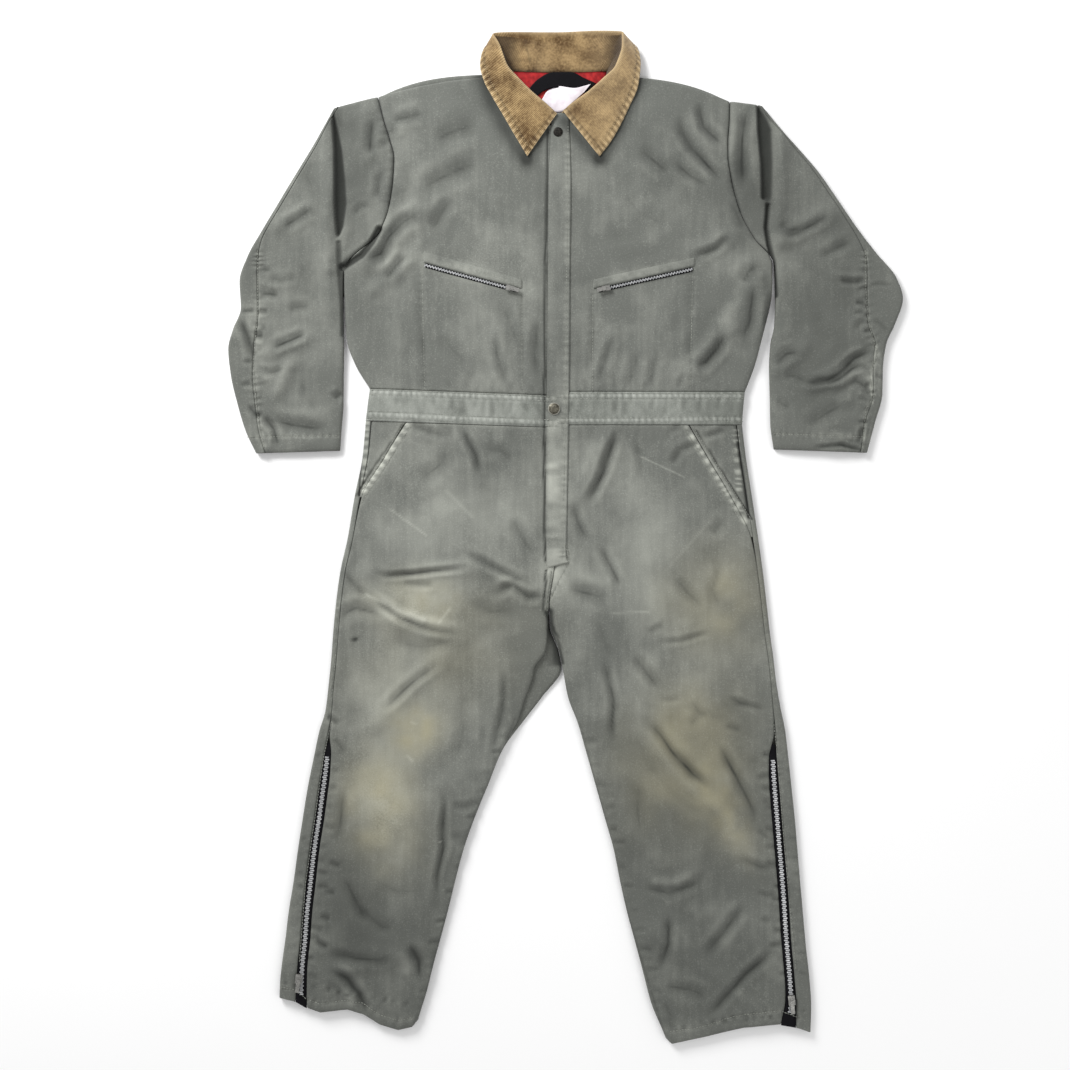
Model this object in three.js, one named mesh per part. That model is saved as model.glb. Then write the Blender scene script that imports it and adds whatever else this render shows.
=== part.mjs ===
import * as THREE from "three";

// Driving sizes in millimetres. The suit lies on its back, its neck towards +Y, and +Z is up.
const wall = 5;
const seam = 0.3;
const edgeHeight = 2 * wall + seam;
const rollRadius = edgeHeight / 2;
const trimWall = 1.6;
const trimLift = 0.7;
const collarWall = 2.4;
const bandRise = 1;
const centreX = -0.5;
const centreY = -0.962;

const shellColour = 0x7d817b;
const bandColour = 0x989c95;
const collarColour = 0x8f7654;
const liningColour = 0xb23f3c;
const tapeColour = 0x232226;
const metalColour = 0xb4b4b0;

// Broad loft of each tube of cloth: a centre line, its half width and its height.
const tubes = [
  { x1: -10, y1: 560, x2: -20, y2: -40, half: 300, height: 4 },
  { x1: -150, y1: 60, x2: -318, y2: -700, half: 135, height: 4 },
  { x1: 130, y1: 60, x2: 255, y2: -730, half: 135, height: 4 },
  { x1: -320, y1: 600, x2: -405, y2: 130, half: 90, height: 3.5 },
  { x1: 290, y1: 600, x2: 392, y2: 130, half: 90, height: 3.5 },
];

// Largest folds: a line along the crest, its height and its half width.
const folds = [
  { x1: -220, y1: 492, x2: -303, y2: 417, height: 6, half: 15 },
  { x1: -238, y1: 412, x2: -284, y2: 372, height: 4, half: 13 },
  { x1: -262, y1: 622, x2: -222, y2: 636, height: 3, half: 12 },
  { x1: -298, y1: 636, x2: -292, y2: 570, height: 3, half: 11 },
  { x1: -108, y1: 305, x2: -94, y2: 222, height: 3, half: 12 },
  { x1: 248, y1: 448, x2: 192, y2: 425, height: 4, half: 13 },
  { x1: 242, y1: 310, x2: 190, y2: 255, height: 6, half: 14 },
  { x1: 278, y1: 405, x2: 262, y2: 300, height: 4, half: 12 },
  { x1: 72, y1: 302, x2: 46, y2: 226, height: 3, half: 12 },
  { x1: -430, y1: 464, x2: -384, y2: 488, height: 4, half: 12 },
  { x1: -448, y1: 278, x2: -392, y2: 296, height: 4, half: 13 },
  { x1: -434, y1: 224, x2: -418, y2: 254, height: 3, half: 11 },
  { x1: -356, y1: 625, x2: -350, y2: 400, height: 5, half: 12 },
  { x1: 326, y1: 442, x2: 394, y2: 486, height: 5, half: 14 },
  { x1: 366, y1: 230, x2: 414, y2: 242, height: 5, half: 12 },
  { x1: 310, y1: 248, x2: 352, y2: 280, height: 4, half: 12 },
  { x1: 318, y1: 640, x2: 322, y2: 440, height: 5, half: 12 },
  { x1: -152, y1: 150, x2: -130, y2: 86, height: 3, half: 12 },
  { x1: 72, y1: 160, x2: 14, y2: 56, height: 5, half: 14 },
  { x1: 10, y1: 44, x2: 68, y2: -56, height: 4, half: 14 },
  { x1: -286, y1: -52, x2: -146, y2: -48, height: 3, half: 13 },
  { x1: -338, y1: -48, x2: -250, y2: -130, height: 4, half: 16 },
  { x1: -250, y1: -130, x2: -158, y2: -152, height: 4, half: 16 },
  { x1: -96, y1: -70, x2: -34, y2: -86, height: 3, half: 12 },
  { x1: -186, y1: -186, x2: -290, y2: -282, height: 4, half: 16 },
  { x1: -92, y1: -196, x2: -112, y2: -320, height: 3, half: 13 },
  { x1: -190, y1: -372, x2: -194, y2: -536, height: 3, half: 14 },
  { x1: 40, y1: -120, x2: 150, y2: -260, height: 4, half: 16 },
  { x1: 220, y1: -60, x2: 130, y2: -210, height: 3, half: 15 },
  { x1: 90, y1: -360, x2: 190, y2: -420, height: 4, half: 16 },
  { x1: 260, y1: -330, x2: 170, y2: -540, height: 3, half: 16 },
  { x1: 130, y1: -600, x2: 240, y2: -660, height: 4, half: 15 },
  { x1: -380, y1: -440, x2: -290, y2: -520, height: 3, half: 15 },
  { x1: -230, y1: -620, x2: -360, y2: -660, height: 4, half: 15 },
];

// Each leg and sleeve: inner and outer outline of a section, how far the front stops short
// of the inner outline, how far the back wraps over the outer one, and the slot beside that.
const rightLeg = [
  { ix: -12.2, iy: 164, ox: -301, oy: 174, inset: 0, wrap: 8, slot: 53 },
  { ix: -12.2, iy: 120, ox: -306, oy: 120, inset: 0, wrap: 8, slot: 26 },
  { ix: -12.2, iy: 60, ox: -318, oy: 60, inset: 0, wrap: 8, slot: 3 },
  { ix: -12.2, iy: 0, ox: -328, oy: 0, inset: 0, wrap: 8, slot: 0 },
  { ix: -18, iy: -50, ox: -339, oy: -50, inset: 0, wrap: 8, slot: 0 },
  { ix: -25.6, iy: -100, ox: -346, oy: -100, inset: 0, wrap: 8, slot: 0 },
  { ix: -25.6, iy: -135, ox: -350, oy: -142, inset: 2, wrap: 8, slot: 0 },
  { ix: -19, iy: -170, ox: -353, oy: -182, inset: 12, wrap: 8, slot: 0 },
  { ix: -13, iy: -200, ox: -357, oy: -222, inset: 36, wrap: 8, slot: 0 },
  { ix: -36, iy: -241, ox: -362, oy: -262, inset: 26, wrap: 10, slot: 0 },
  { ix: -66, iy: -280, ox: -371, oy: -292, inset: 9, wrap: 14, slot: 2 },
  { ix: -95, iy: -320, ox: -379, oy: -330, inset: 2, wrap: 15, slot: 11 },
  { ix: -116, iy: -370, ox: -389, oy: -380, inset: 0, wrap: 17, slot: 15 },
  { ix: -138, iy: -424, ox: -397, oy: -430, inset: 0, wrap: 18, slot: 15 },
  { ix: -154, iy: -470, ox: -404, oy: -476, inset: 0, wrap: 18, slot: 15 },
  { ix: -166, iy: -515, ox: -410, oy: -520, inset: 0, wrap: 19, slot: 15 },
  { ix: -177, iy: -560, ox: -417, oy: -563, inset: 0, wrap: 21, slot: 15 },
  { ix: -189, iy: -605, ox: -422, oy: -604, inset: 0, wrap: 23, slot: 15 },
  { ix: -201, iy: -650, ox: -427, oy: -640, inset: 0, wrap: 24, slot: 15 },
  { ix: -211, iy: -692, ox: -430, oy: -668, inset: 0, wrap: 25, slot: 16 },
  { ix: -222, iy: -733, ox: -431, oy: -692, inset: 0, wrap: 25, slot: 18 },
];

const leftLeg = [
  { ix: -11.6, iy: 168, ox: 265, oy: 168, inset: 0, wrap: 8, slot: 73 },
  { ix: -11.6, iy: 120, ox: 271, oy: 118, inset: 0, wrap: 8, slot: 50 },
  { ix: -11.6, iy: 60, ox: 280, oy: 60, inset: 0, wrap: 8, slot: 24 },
  { ix: -11.6, iy: 0, ox: 289, oy: 0, inset: 0, wrap: 8, slot: 3 },
  { ix: -17.4, iy: -50, ox: 296, oy: -50, inset: 0, wrap: 8, slot: 0 },
  { ix: -24.6, iy: -100, ox: 302, oy: -100, inset: 0, wrap: 8, slot: 0 },
  { ix: -23.6, iy: -135, ox: 307, oy: -145, inset: 0, wrap: 8, slot: 0 },
  { ix: -11, iy: -170, ox: 312, oy: -180, inset: 0, wrap: 8, slot: 0 },
  { ix: -4.5, iy: -200, ox: 316, oy: -215, inset: 0, wrap: 8, slot: 0 },
  { ix: 3, iy: -240, ox: 322, oy: -252, inset: 0, wrap: 11, slot: 0 },
  { ix: 18, iy: -280, ox: 330, oy: -292, inset: 0, wrap: 15, slot: 2 },
  { ix: 31, iy: -325, ox: 335, oy: -335, inset: 0, wrap: 18, slot: 12 },
  { ix: 46, iy: -378, ox: 340, oy: -382, inset: 0, wrap: 19, slot: 15 },
  { ix: 59, iy: -424, ox: 345, oy: -430, inset: 0, wrap: 20, slot: 15 },
  { ix: 72, iy: -470, ox: 349, oy: -478, inset: 0, wrap: 20, slot: 15 },
  { ix: 81, iy: -515, ox: 353, oy: -525, inset: 0, wrap: 20, slot: 15 },
  { ix: 91, iy: -560, ox: 357, oy: -570, inset: 0, wrap: 21, slot: 15 },
  { ix: 103, iy: -605, ox: 361, oy: -615, inset: 0, wrap: 22, slot: 15 },
  { ix: 115, iy: -650, ox: 366, oy: -660, inset: 0, wrap: 23, slot: 15 },
  { ix: 128, iy: -700, ox: 369, oy: -704, inset: 0, wrap: 23, slot: 17 },
  { ix: 150, iy: -761, ox: 368, oy: -742, inset: 0, wrap: 22, slot: 24 },
];

const rightSleeve = [
  { ix: -282.6, iy: 661, ox: -349.5, oy: 643.5, inset: 0, wrap: 8, slot: 0 },
  { ix: -273.6, iy: 625, ox: -380, oy: 589, inset: 0, wrap: 8, slot: 0 },
  { ix: -264.6, iy: 596, ox: -397, oy: 561, inset: 0, wrap: 8, slot: 0 },
  { ix: -258.6, iy: 570, ox: -413, oy: 535, inset: 0, wrap: 8, slot: 0 },
  { ix: -260.1, iy: 538, ox: -434, oy: 500, inset: 0, wrap: 8, slot: 0 },
  { ix: -266.1, iy: 498, ox: -459, oy: 458, inset: 0, wrap: 8, slot: 0 },
  { ix: -280, iy: 459, ox: -479, oy: 422, inset: 0, wrap: 17, slot: 0 },
  { ix: -335, iy: 402, ox: -491, oy: 384, inset: 0, wrap: 27, slot: 0 },
  { ix: -335, iy: 355, ox: -489, oy: 345, inset: 0, wrap: 26, slot: 0 },
  { ix: -334.6, iy: 312, ox: -501, oy: 312, inset: 0, wrap: 36, slot: 0 },
  { ix: -334, iy: 280, ox: -508, oy: 282, inset: 0, wrap: 38, slot: 0 },
  { ix: -334.5, iy: 245, ox: -504, oy: 243, inset: 0, wrap: 33, slot: 0 },
  { ix: -335, iy: 200, ox: -494, oy: 200, inset: 0, wrap: 27, slot: 0 },
  { ix: -338, iy: 160, ox: -482, oy: 160, inset: 0, wrap: 20, slot: 0 },
  { ix: -340, iy: 130, ox: -466, oy: 126, inset: 0, wrap: 14, slot: 0 },
];

const leftSleeve = [
  { ix: 246.6, iy: 654, ox: 296, oy: 647, inset: 0, wrap: 8, slot: 0 },
  { ix: 245.6, iy: 622, ox: 330, oy: 606, inset: 0, wrap: 8, slot: 0 },
  { ix: 243.6, iy: 596, ox: 356, oy: 577, inset: 0, wrap: 8, slot: 0 },
  { ix: 243.6, iy: 572, ox: 379, oy: 550, inset: 0, wrap: 8, slot: 0 },
  { ix: 249.6, iy: 533, ox: 407, oy: 510, inset: 0, wrap: 8, slot: 0 },
  { ix: 262.6, iy: 488, ox: 437, oy: 466, inset: 0, wrap: 9, slot: 0 },
  { ix: 283.6, iy: 448, ox: 466, oy: 428, inset: 0, wrap: 18, slot: 0 },
  { ix: 313, iy: 412, ox: 497, oy: 390, inset: 0, wrap: 44, slot: 0 },
  { ix: 315, iy: 362, ox: 507, oy: 358, inset: 0, wrap: 54, slot: 0 },
  { ix: 314, iy: 320, ox: 495, oy: 320, inset: 0, wrap: 41, slot: 0 },
  { ix: 308, iy: 290, ox: 482, oy: 290, inset: 0, wrap: 17, slot: 0 },
  { ix: 306, iy: 255, ox: 477, oy: 255, inset: 0, wrap: 15, slot: 0 },
  { ix: 307, iy: 215, ox: 476, oy: 215, inset: 0, wrap: 14, slot: 0 },
  { ix: 308, iy: 170, ox: 465, oy: 172, inset: 0, wrap: 16, slot: 0 },
  { ix: 313, iy: 132, ox: 453, oy: 127, inset: 0, wrap: 10, slot: 0 },
];

// Panels of the body: the two ends of each row, and how far the row bows towards the neck.
const rightFront = [
  { lx: -282, ly: 661, rx: -106, ry: 690, bow: 6 },
  { lx: -273, ly: 625, rx: -76, ry: 658, bow: 4 },
  { lx: -264, ly: 596, rx: -46, ry: 630, bow: 0 },
  { lx: -258, ly: 570, rx: -12.2, ry: 606, bow: 0 },
  { lx: -259.5, ly: 538, rx: -12.2, ry: 558, bow: 0 },
  { lx: -265.5, ly: 498, rx: -12.2, ry: 505, bow: 0 },
  { lx: -279, ly: 459, rx: -12.2, ry: 455, bow: 0 },
  { lx: -333, ly: 402, rx: -12.2, ry: 400, bow: 0 },
  { lx: -333, ly: 355, rx: -12.2, ry: 350, bow: 0 },
  { lx: -330, ly: 300, rx: -12.2, ry: 300, bow: 0 },
  { lx: -317, ly: 260, rx: -12.2, ry: 255, bow: 0 },
  { lx: -295, ly: 223, rx: -12.2, ry: 212, bow: 0 },
];

const leftFront = [
  { lx: 76, ly: 692, rx: 246, ry: 654, bow: 8 },
  { lx: 52, ly: 668, rx: 245, ry: 622, bow: 4 },
  { lx: 24, ly: 640, rx: 243, ry: 596, bow: 0 },
  { lx: -11.6, ly: 606, rx: 243, ry: 572, bow: 0 },
  { lx: -11.6, ly: 558, rx: 249, ry: 533, bow: 0 },
  { lx: -11.6, ly: 505, rx: 262, ry: 488, bow: 0 },
  { lx: -11.6, ly: 455, rx: 283, ry: 448, bow: 0 },
  { lx: -11.6, ly: 400, rx: 311, ry: 410, bow: 0 },
  { lx: -11.6, ly: 350, rx: 309, ry: 362, bow: 0 },
  { lx: -11.6, ly: 300, rx: 295, ry: 300, bow: 0 },
  { lx: -11.6, ly: 255, rx: 283, ry: 255, bow: 0 },
  { lx: -11.6, ly: 218, rx: 269, ry: 218, bow: 0 },
];

const backBody = [
  { lx: -282, ly: 661, rx: 246, ry: 654, bow: 38 },
  { lx: -273, ly: 625, rx: 245, ry: 622, bow: 32 },
  { lx: -264, ly: 596, rx: 243, ry: 596, bow: 20 },
  { lx: -258, ly: 570, rx: 243, ry: 572, bow: 10 },
  { lx: -259.5, ly: 538, rx: 249, ry: 533, bow: 5 },
  { lx: -265.5, ly: 498, rx: 262, ry: 488, bow: 0 },
  { lx: -279, ly: 459, rx: 283, ry: 448, bow: 0 },
  { lx: -333, ly: 402, rx: 311, ry: 410, bow: 0 },
  { lx: -333, ly: 355, rx: 309, ry: 362, bow: 0 },
  { lx: -330, ly: 300, rx: 295, ry: 300, bow: 0 },
  { lx: -317, ly: 260, rx: 283, ry: 255, bow: 0 },
  { lx: -295, ly: 223, rx: 269, ry: 218, bow: 0 },
];

const rightBand = [
  { lx: -294.8, ly: 222.6, rx: -12.2, ry: 211.6, bow: 0 },
  { lx: -298, ly: 198, rx: -12.2, ry: 188, bow: 0 },
  { lx: -301, ly: 174.4, rx: -12.2, ry: 164.4, bow: 0 },
];

const leftBand = [
  { lx: -11.6, ly: 217.6, rx: 268.8, ry: 217.6, bow: 0 },
  { lx: -11.6, ly: 193, rx: 266.5, ry: 193, bow: 0 },
  { lx: -11.6, ly: 168.4, rx: 265, ry: 168.4, bow: 0 },
];

const backBand = [
  { lx: -294.8, ly: 222.6, rx: 268.8, ry: 217.6, bow: 0 },
  { lx: -298, ly: 198, rx: 266.5, ry: 193, bow: 0 },
  { lx: -301, ly: 175, rx: 265, ry: 169, bow: 0 },
];

const placket = [
  { lx: -25.5, ly: 621, rx: 9, ry: 622, bow: 0 },
  { lx: -27, ly: 520, rx: 7.5, ry: 520, bow: 0 },
  { lx: -28, ly: 400, rx: 6, ry: 400, bow: 0 },
  { lx: -29, ly: 290, rx: 5.5, ry: 290, bow: 0 },
  { lx: -30, ly: 190, rx: 4.5, ry: 190, bow: 0 },
  { lx: -31, ly: 70, rx: 2, ry: 70, bow: 0 },
  { lx: -31.5, ly: -30, rx: 0.5, ry: -30, bow: 0 },
  { lx: -28.5, ly: -46.5, rx: 4.5, ry: -38, bow: 0 },
];

const rightWelt = [
  { lx: -214, ly: 412, rx: -214, ry: 429, bow: 0 },
  { lx: -140, ly: 391.5, rx: -140, ry: 407.5, bow: 0 },
  { lx: -66, ly: 371.5, rx: -66, ry: 386, bow: 0 },
];

const leftWelt = [
  { lx: 40.5, ly: 371.5, rx: 40.5, ry: 386, bow: 0 },
  { lx: 115, ly: 388.5, rx: 115, ry: 402.5, bow: 0 },
  { lx: 193, ly: 406, rx: 193, ry: 419, bow: 0 },
];

const rightSlit = [
  { lx: -212, ly: 404.2, rx: -212, ry: 411.2, bow: 0 },
  { lx: -140, ly: 384.2, rx: -140, ry: 391.2, bow: 0 },
  { lx: -74, ly: 366.2, rx: -74, ry: 373.2, bow: 0 },
];

const leftSlit = [
  { lx: 48, ly: 365.8, rx: 48, ry: 372.8, bow: 0 },
  { lx: 115, ly: 381.2, rx: 115, ry: 388.2, bow: 0 },
  { lx: 191, ly: 398.2, rx: 191, ry: 405.2, bow: 0 },
];

const lining = [
  { lx: -85, ly: 693.5, rx: 54, ry: 693.5, bow: 0 },
  { lx: -76, ly: 680, rx: 45, ry: 680, bow: 0 },
  { lx: -50, ly: 654, rx: 17, ry: 654, bow: 0 },
  { lx: -31, ly: 637, rx: 0, ry: 637, bow: 0 },
  { lx: -20, ly: 626, rx: -11, ry: 626, bow: 0 },
];

const loopBand = [
  { lx: -50, ly: 655, rx: -62, ry: 666, bow: 0 },
  { lx: -35, ly: 669, rx: -44, ry: 684, bow: 0 },
  { lx: -16, ly: 675, rx: -20, ry: 691, bow: 0 },
  { lx: 6, ly: 675, rx: 7, ry: 691, bow: 0 },
  { lx: 20, ly: 669, rx: 28, ry: 684, bow: 0 },
  { lx: 26, ly: 663, rx: 38, ry: 674, bow: 0 },
];

const labelRows = [
  { lx: -32, ly: 648, rx: -34, ry: 660, bow: 0 },
  { lx: -16, ly: 638, rx: -21, ry: 665, bow: 0 },
  { lx: -5, ly: 639, rx: 4, ry: 668, bow: 0 },
  { lx: 12, ly: 654, rx: 14, ry: 666, bow: 0 },
  { lx: 27, ly: 668, rx: 33, ry: 677, bow: 0 },
];

// Collar sections round the neck: neck seam, fold line and outer edge, each with its height.
const collarSections = [
  { nx: -21, ny: 624, nz: 9, fx: -13.5, fy: 633, fz: 21, ox: -58, oy: 570, oz: 16.2 },
  { nx: -37, ny: 638, nz: 9, fx: -30, fy: 648, fz: 21, ox: -76, oy: 600, oz: 16.2 },
  { nx: -57, ny: 654, nz: 9, fx: -51, fy: 666, fz: 21, ox: -94, oy: 631, oz: 16.2 },
  { nx: -78, ny: 673, nz: 9, fx: -72, fy: 687, fz: 21, ox: -111, oy: 660, oz: 16.2 },
  { nx: -92, ny: 692, nz: 8.5, fx: -88, fy: 706, fz: 20, ox: -123, oy: 683, oz: 16 },
  { nx: -88, ny: 700, nz: 7, fx: -100, fy: 738, fz: 18, ox: -127, oy: 708, oz: 13 },
  { nx: -72, ny: 700, nz: 6.9, fx: -97, fy: 751, fz: 14, ox: -121, oy: 730, oz: 8 },
  { nx: -50, ny: 699, nz: 6.8, fx: -69, fy: 756, fz: 9.5, ox: -92, oy: 722, oz: 1.5 },
  { nx: -15, ny: 698.5, nz: 6.7, fx: -15, fy: 758, fz: 8.5, ox: -15, oy: 708, oz: 1.5 },
  { nx: 25, ny: 699, nz: 6.8, fx: 39, fy: 758, fz: 9.5, ox: 55, oy: 724, oz: 1.5 },
  { nx: 48, ny: 700, nz: 6.9, fx: 75, fy: 754, fz: 14, ox: 103, oy: 733, oz: 8 },
  { nx: 62, ny: 700, nz: 7, fx: 85, fy: 738, fz: 18, ox: 112, oy: 710, oz: 13 },
  { nx: 60, ny: 689, nz: 8.5, fx: 75, fy: 706, fz: 20, ox: 108, oy: 676, oz: 16 },
  { nx: 45, ny: 673, nz: 9, fx: 56, fy: 686, fz: 21, ox: 95, oy: 645, oz: 16.2 },
  { nx: 24, ny: 654, nz: 9, fx: 33, fy: 666, fz: 21, ox: 81, oy: 616, oz: 16.2 },
  { nx: 3, ny: 635, nz: 9, fx: 11, fy: 650, fz: 21, ox: 67, oy: 592, oz: 16.2 },
  { nx: -10, ny: 624, nz: 9, fx: -5, fy: 637, fz: 21, ox: 50, oy: 570, oz: 16.2 },
];

// Hard parts: where they stand, which way they point, and their sizes.
const snap = { x: -18, y: 192, radius: 8, height: 3.4, rimRadius: 9, rimHeight: 1 };
const neckSnap = { x: -12, y: 606, radius: 7, height: 2.6 };
const sliderSize = { chestLength: 12, chestWidth: 8, legLength: 14, legWidth: 10, height: 3 };
const tabSize = { chestLength: 14, legLength: 20, width: 6, thickness: 1.2, pivotRise: 0.9 };
const sliders = {
  chestRight: { x: -84, y: 372.4, turn: -0.27 },
  chestLeft: { x: 60, y: 372.2, turn: Math.PI + 0.23 },
  legRight: { x: -400.5, y: -662, turn: -Math.PI / 2 - 0.12 },
  legLeft: { x: 338, y: -694, turn: -Math.PI / 2 + 0.1 },
};

const group = new THREE.Group();
group.name = "boiler_suit";

function material(name, colour, roughness, metalness) {
  const made = new THREE.MeshStandardMaterial({ color: colour, roughness, metalness });
  made.name = name;
  return made;
}

const shell = () => material("shell_twill", shellColour, 0.92, 0);
const band = () => material("shell_band", bandColour, 0.92, 0);
const tape = () => material("zip_tape", tapeColour, 0.85, 0);
const metal = () => material("zip_metal", metalColour, 0.35, 0.9);

function segmentDistance(x, y, line) {
  const dx = line.x2 - line.x1;
  const dy = line.y2 - line.y1;
  const along = ((x - line.x1) * dx + (y - line.y1) * dy) / (dx * dx + dy * dy);
  const held = Math.min(1, Math.max(0, along));
  return Math.hypot(x - line.x1 - held * dx, y - line.y1 - held * dy);
}

// Height of the cloth above its flat lie, shared by every panel so that folds cross seams.
function loft(x, y) {
  let puff = 0;
  for (const tube of tubes) {
    const away = segmentDistance(x, y, tube) / tube.half;
    puff = Math.max(puff, tube.height * Math.max(0, 1 - away * away));
  }
  let raised = puff;
  for (const fold of folds) {
    const away = segmentDistance(x, y, fold) / fold.half;
    if (away < 3) raised += fold.height * Math.exp(-away * away);
  }
  return raised;
}

const topHeight = (x, y) => edgeHeight + loft(x, y);
const underHeight = (x, y) => wall + seam + loft(x, y);

function mix(a, b, t) {
  return a + (b - a) * t;
}

// Slope shared by two steps of a table, level where they turn back.
function sharedSlope(before, after) {
  return before * after <= 0 ? 0 : (2 * before * after) / (before + after);
}

// A smooth value between table rows that never swings past them.
function sampled(rows, key, place) {
  const at = Math.min(rows.length - 1, Math.max(0, place));
  const low = Math.min(rows.length - 2, Math.floor(at));
  const t = at - low;
  const start = rows[low][key];
  const end = rows[low + 1][key];
  const step = end - start;
  const before = low > 0 ? start - rows[low - 1][key] : step;
  const after = low + 2 < rows.length ? rows[low + 2][key] - end : step;
  const rise = step * t * t * (3 - 2 * t);
  const leave = sharedSlope(before, step) * t * (1 - t) * (1 - t);
  const arrive = sharedSlope(step, after) * t * t * (1 - t);
  return start + rise + leave - arrive;
}

// Closes an outer and an inner grid of the same size into one solid.
function closedSheet(name, outer, inner, look) {
  const rows = outer.length;
  const cols = outer[0].length;
  const points = [];
  for (const grid of [outer, inner]) {
    for (const row of grid) {
      for (const point of row) points.push(point[0] - centreX, point[1] - centreY, point[2]);
    }
  }
  const faces = [];
  const quad = (a, b, c, d) => faces.push(a, b, c, a, c, d);
  const back = rows * cols;
  for (let r = 0; r < rows - 1; r += 1) {
    for (let c = 0; c < cols - 1; c += 1) {
      const a = r * cols + c;
      quad(a, a + 1, a + cols + 1, a + cols);
      quad(back + a, back + a + cols, back + a + cols + 1, back + a + 1);
    }
  }
  for (let c = 0; c < cols - 1; c += 1) {
    const end = (rows - 1) * cols + c;
    quad(c, back + c, back + c + 1, c + 1);
    quad(end, end + 1, back + end + 1, back + end);
  }
  for (let r = 0; r < rows - 1; r += 1) {
    const a = r * cols;
    const b = a + cols - 1;
    quad(a, a + cols, back + a + cols, back + a);
    quad(b, back + b, back + b + cols, b + cols);
  }
  let volume = 0;
  for (let i = 0; i < faces.length; i += 3) {
    const [p, q, s] = [faces[i] * 3, faces[i + 1] * 3, faces[i + 2] * 3];
    volume += points[p] * (points[q + 1] * points[s + 2] - points[q + 2] * points[s + 1]);
    volume += points[p + 1] * (points[q + 2] * points[s] - points[q] * points[s + 2]);
    volume += points[p + 2] * (points[q] * points[s + 1] - points[q + 1] * points[s]);
  }
  if (volume < 0) {
    for (let i = 0; i < faces.length; i += 3) {
      [faces[i + 1], faces[i + 2]] = [faces[i + 2], faces[i + 1]];
    }
  }
  const geometry = new THREE.BufferGeometry();
  geometry.setAttribute("position", new THREE.Float32BufferAttribute(points, 3));
  geometry.setIndex(faces);
  geometry.computeVertexNormals();
  const mesh = new THREE.Mesh(geometry, look);
  mesh.name = name;
  group.add(mesh);
  return mesh;
}

// Even steps from one end to the other, with one more close to each rolled end.
function spread(steps, length, rolledStart, rolledEnd) {
  const near = Math.min(0.2 / steps, 3 / length);
  const places = [];
  for (let i = 0; i <= steps; i += 1) places.push(i / steps);
  if (rolledStart) places.splice(1, 0, near);
  if (rolledEnd) places.splice(places.length - 1, 0, 1 - near);
  return places;
}

// A panel between the two ends of its table rows. Rolled sides sink towards the layer below.
function panel(name, table, look, options) {
  const down = options.per * (table.length - 1);
  const across = spread(options.across, 250, options.rollLeft, options.rollRight);
  const power = options.bowPower ?? 2;
  const outer = [];
  const inner = [];
  for (let r = 0; r <= down; r += 1) {
    const place = r / options.per;
    const outerRow = [];
    const innerRow = [];
    for (const t of across) {
      const x = mix(sampled(table, "lx", place), sampled(table, "rx", place), t);
      const rise = sampled(table, "bow", place) * (1 - Math.abs(2 * t - 1) ** power);
      const y = mix(sampled(table, "ly", place), sampled(table, "ry", place), t) + rise;
      const rolled = (t === 0 && options.rollLeft) || (t === 1 && options.rollRight);
      const low = options.under(x, y);
      const high = options.top(x, y);
      outerRow.push([x, y, rolled ? mix(low, high, 0.45) : high]);
      innerRow.push([x, y, low]);
    }
    outer.push(outerRow);
    inner.push(innerRow);
  }
  return closedSheet(name, outer, inner, look);
}

const frontOptions = { top: topHeight, under: underHeight };
const backOptions = { top: () => wall, under: () => 0 };

function laidOptions(lift, thickness) {
  return {
    top: (x, y) => topHeight(x, y) + lift + thickness,
    under: (x, y) => topHeight(x, y) + lift,
  };
}

// Place on a tube's section, measured from its inner outline towards its outer one.
function sectionPoint(table, place, reach) {
  const ix = sampled(table, "ix", place);
  const iy = sampled(table, "iy", place);
  const ox = sampled(table, "ox", place);
  const oy = sampled(table, "oy", place);
  const length = Math.hypot(ox - ix, oy - iy);
  const share = reach(length) / length;
  return { x: mix(ix, ox, share), y: mix(iy, oy, share) };
}

// The back half of a tube: flat below, round the outer edge, and over the top to its seam.
function wrappedPanel(name, table, look, per, across) {
  const outer = [];
  const inner = [];
  for (let r = 0; r <= per * (table.length - 1); r += 1) {
    const place = r / per;
    const wrap = Math.max(rollRadius + 2, sampled(table, "wrap", place));
    const outerRow = [];
    const innerRow = [];
    const put = (row, reach, height) => {
      const at = sectionPoint(table, place, reach);
      row.push([at.x, at.y, height(at.x, at.y)]);
    };
    for (let c = 0; c <= across; c += 1) {
      const reach = (length) => ((length - rollRadius) * c) / across;
      put(outerRow, reach, () => 0);
      put(innerRow, reach, () => wall);
    }
    for (let k = 1; k <= 4; k += 1) {
      const angle = (Math.PI * k) / 4;
      const outside = rollRadius * Math.sin(angle);
      const inside = (rollRadius - wall) * Math.sin(angle);
      const outerZ = rollRadius - rollRadius * Math.cos(angle);
      const innerZ = rollRadius - (rollRadius - wall) * Math.cos(angle);
      put(outerRow, (length) => length - rollRadius + outside, () => outerZ);
      put(innerRow, (length) => length - rollRadius + inside, () => innerZ);
    }
    put(outerRow, (length) => length - wrap, topHeight);
    put(innerRow, (length) => length - wrap, underHeight);
    outer.push(outerRow);
    inner.push(innerRow);
  }
  return closedSheet(name, outer, inner, look);
}

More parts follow.
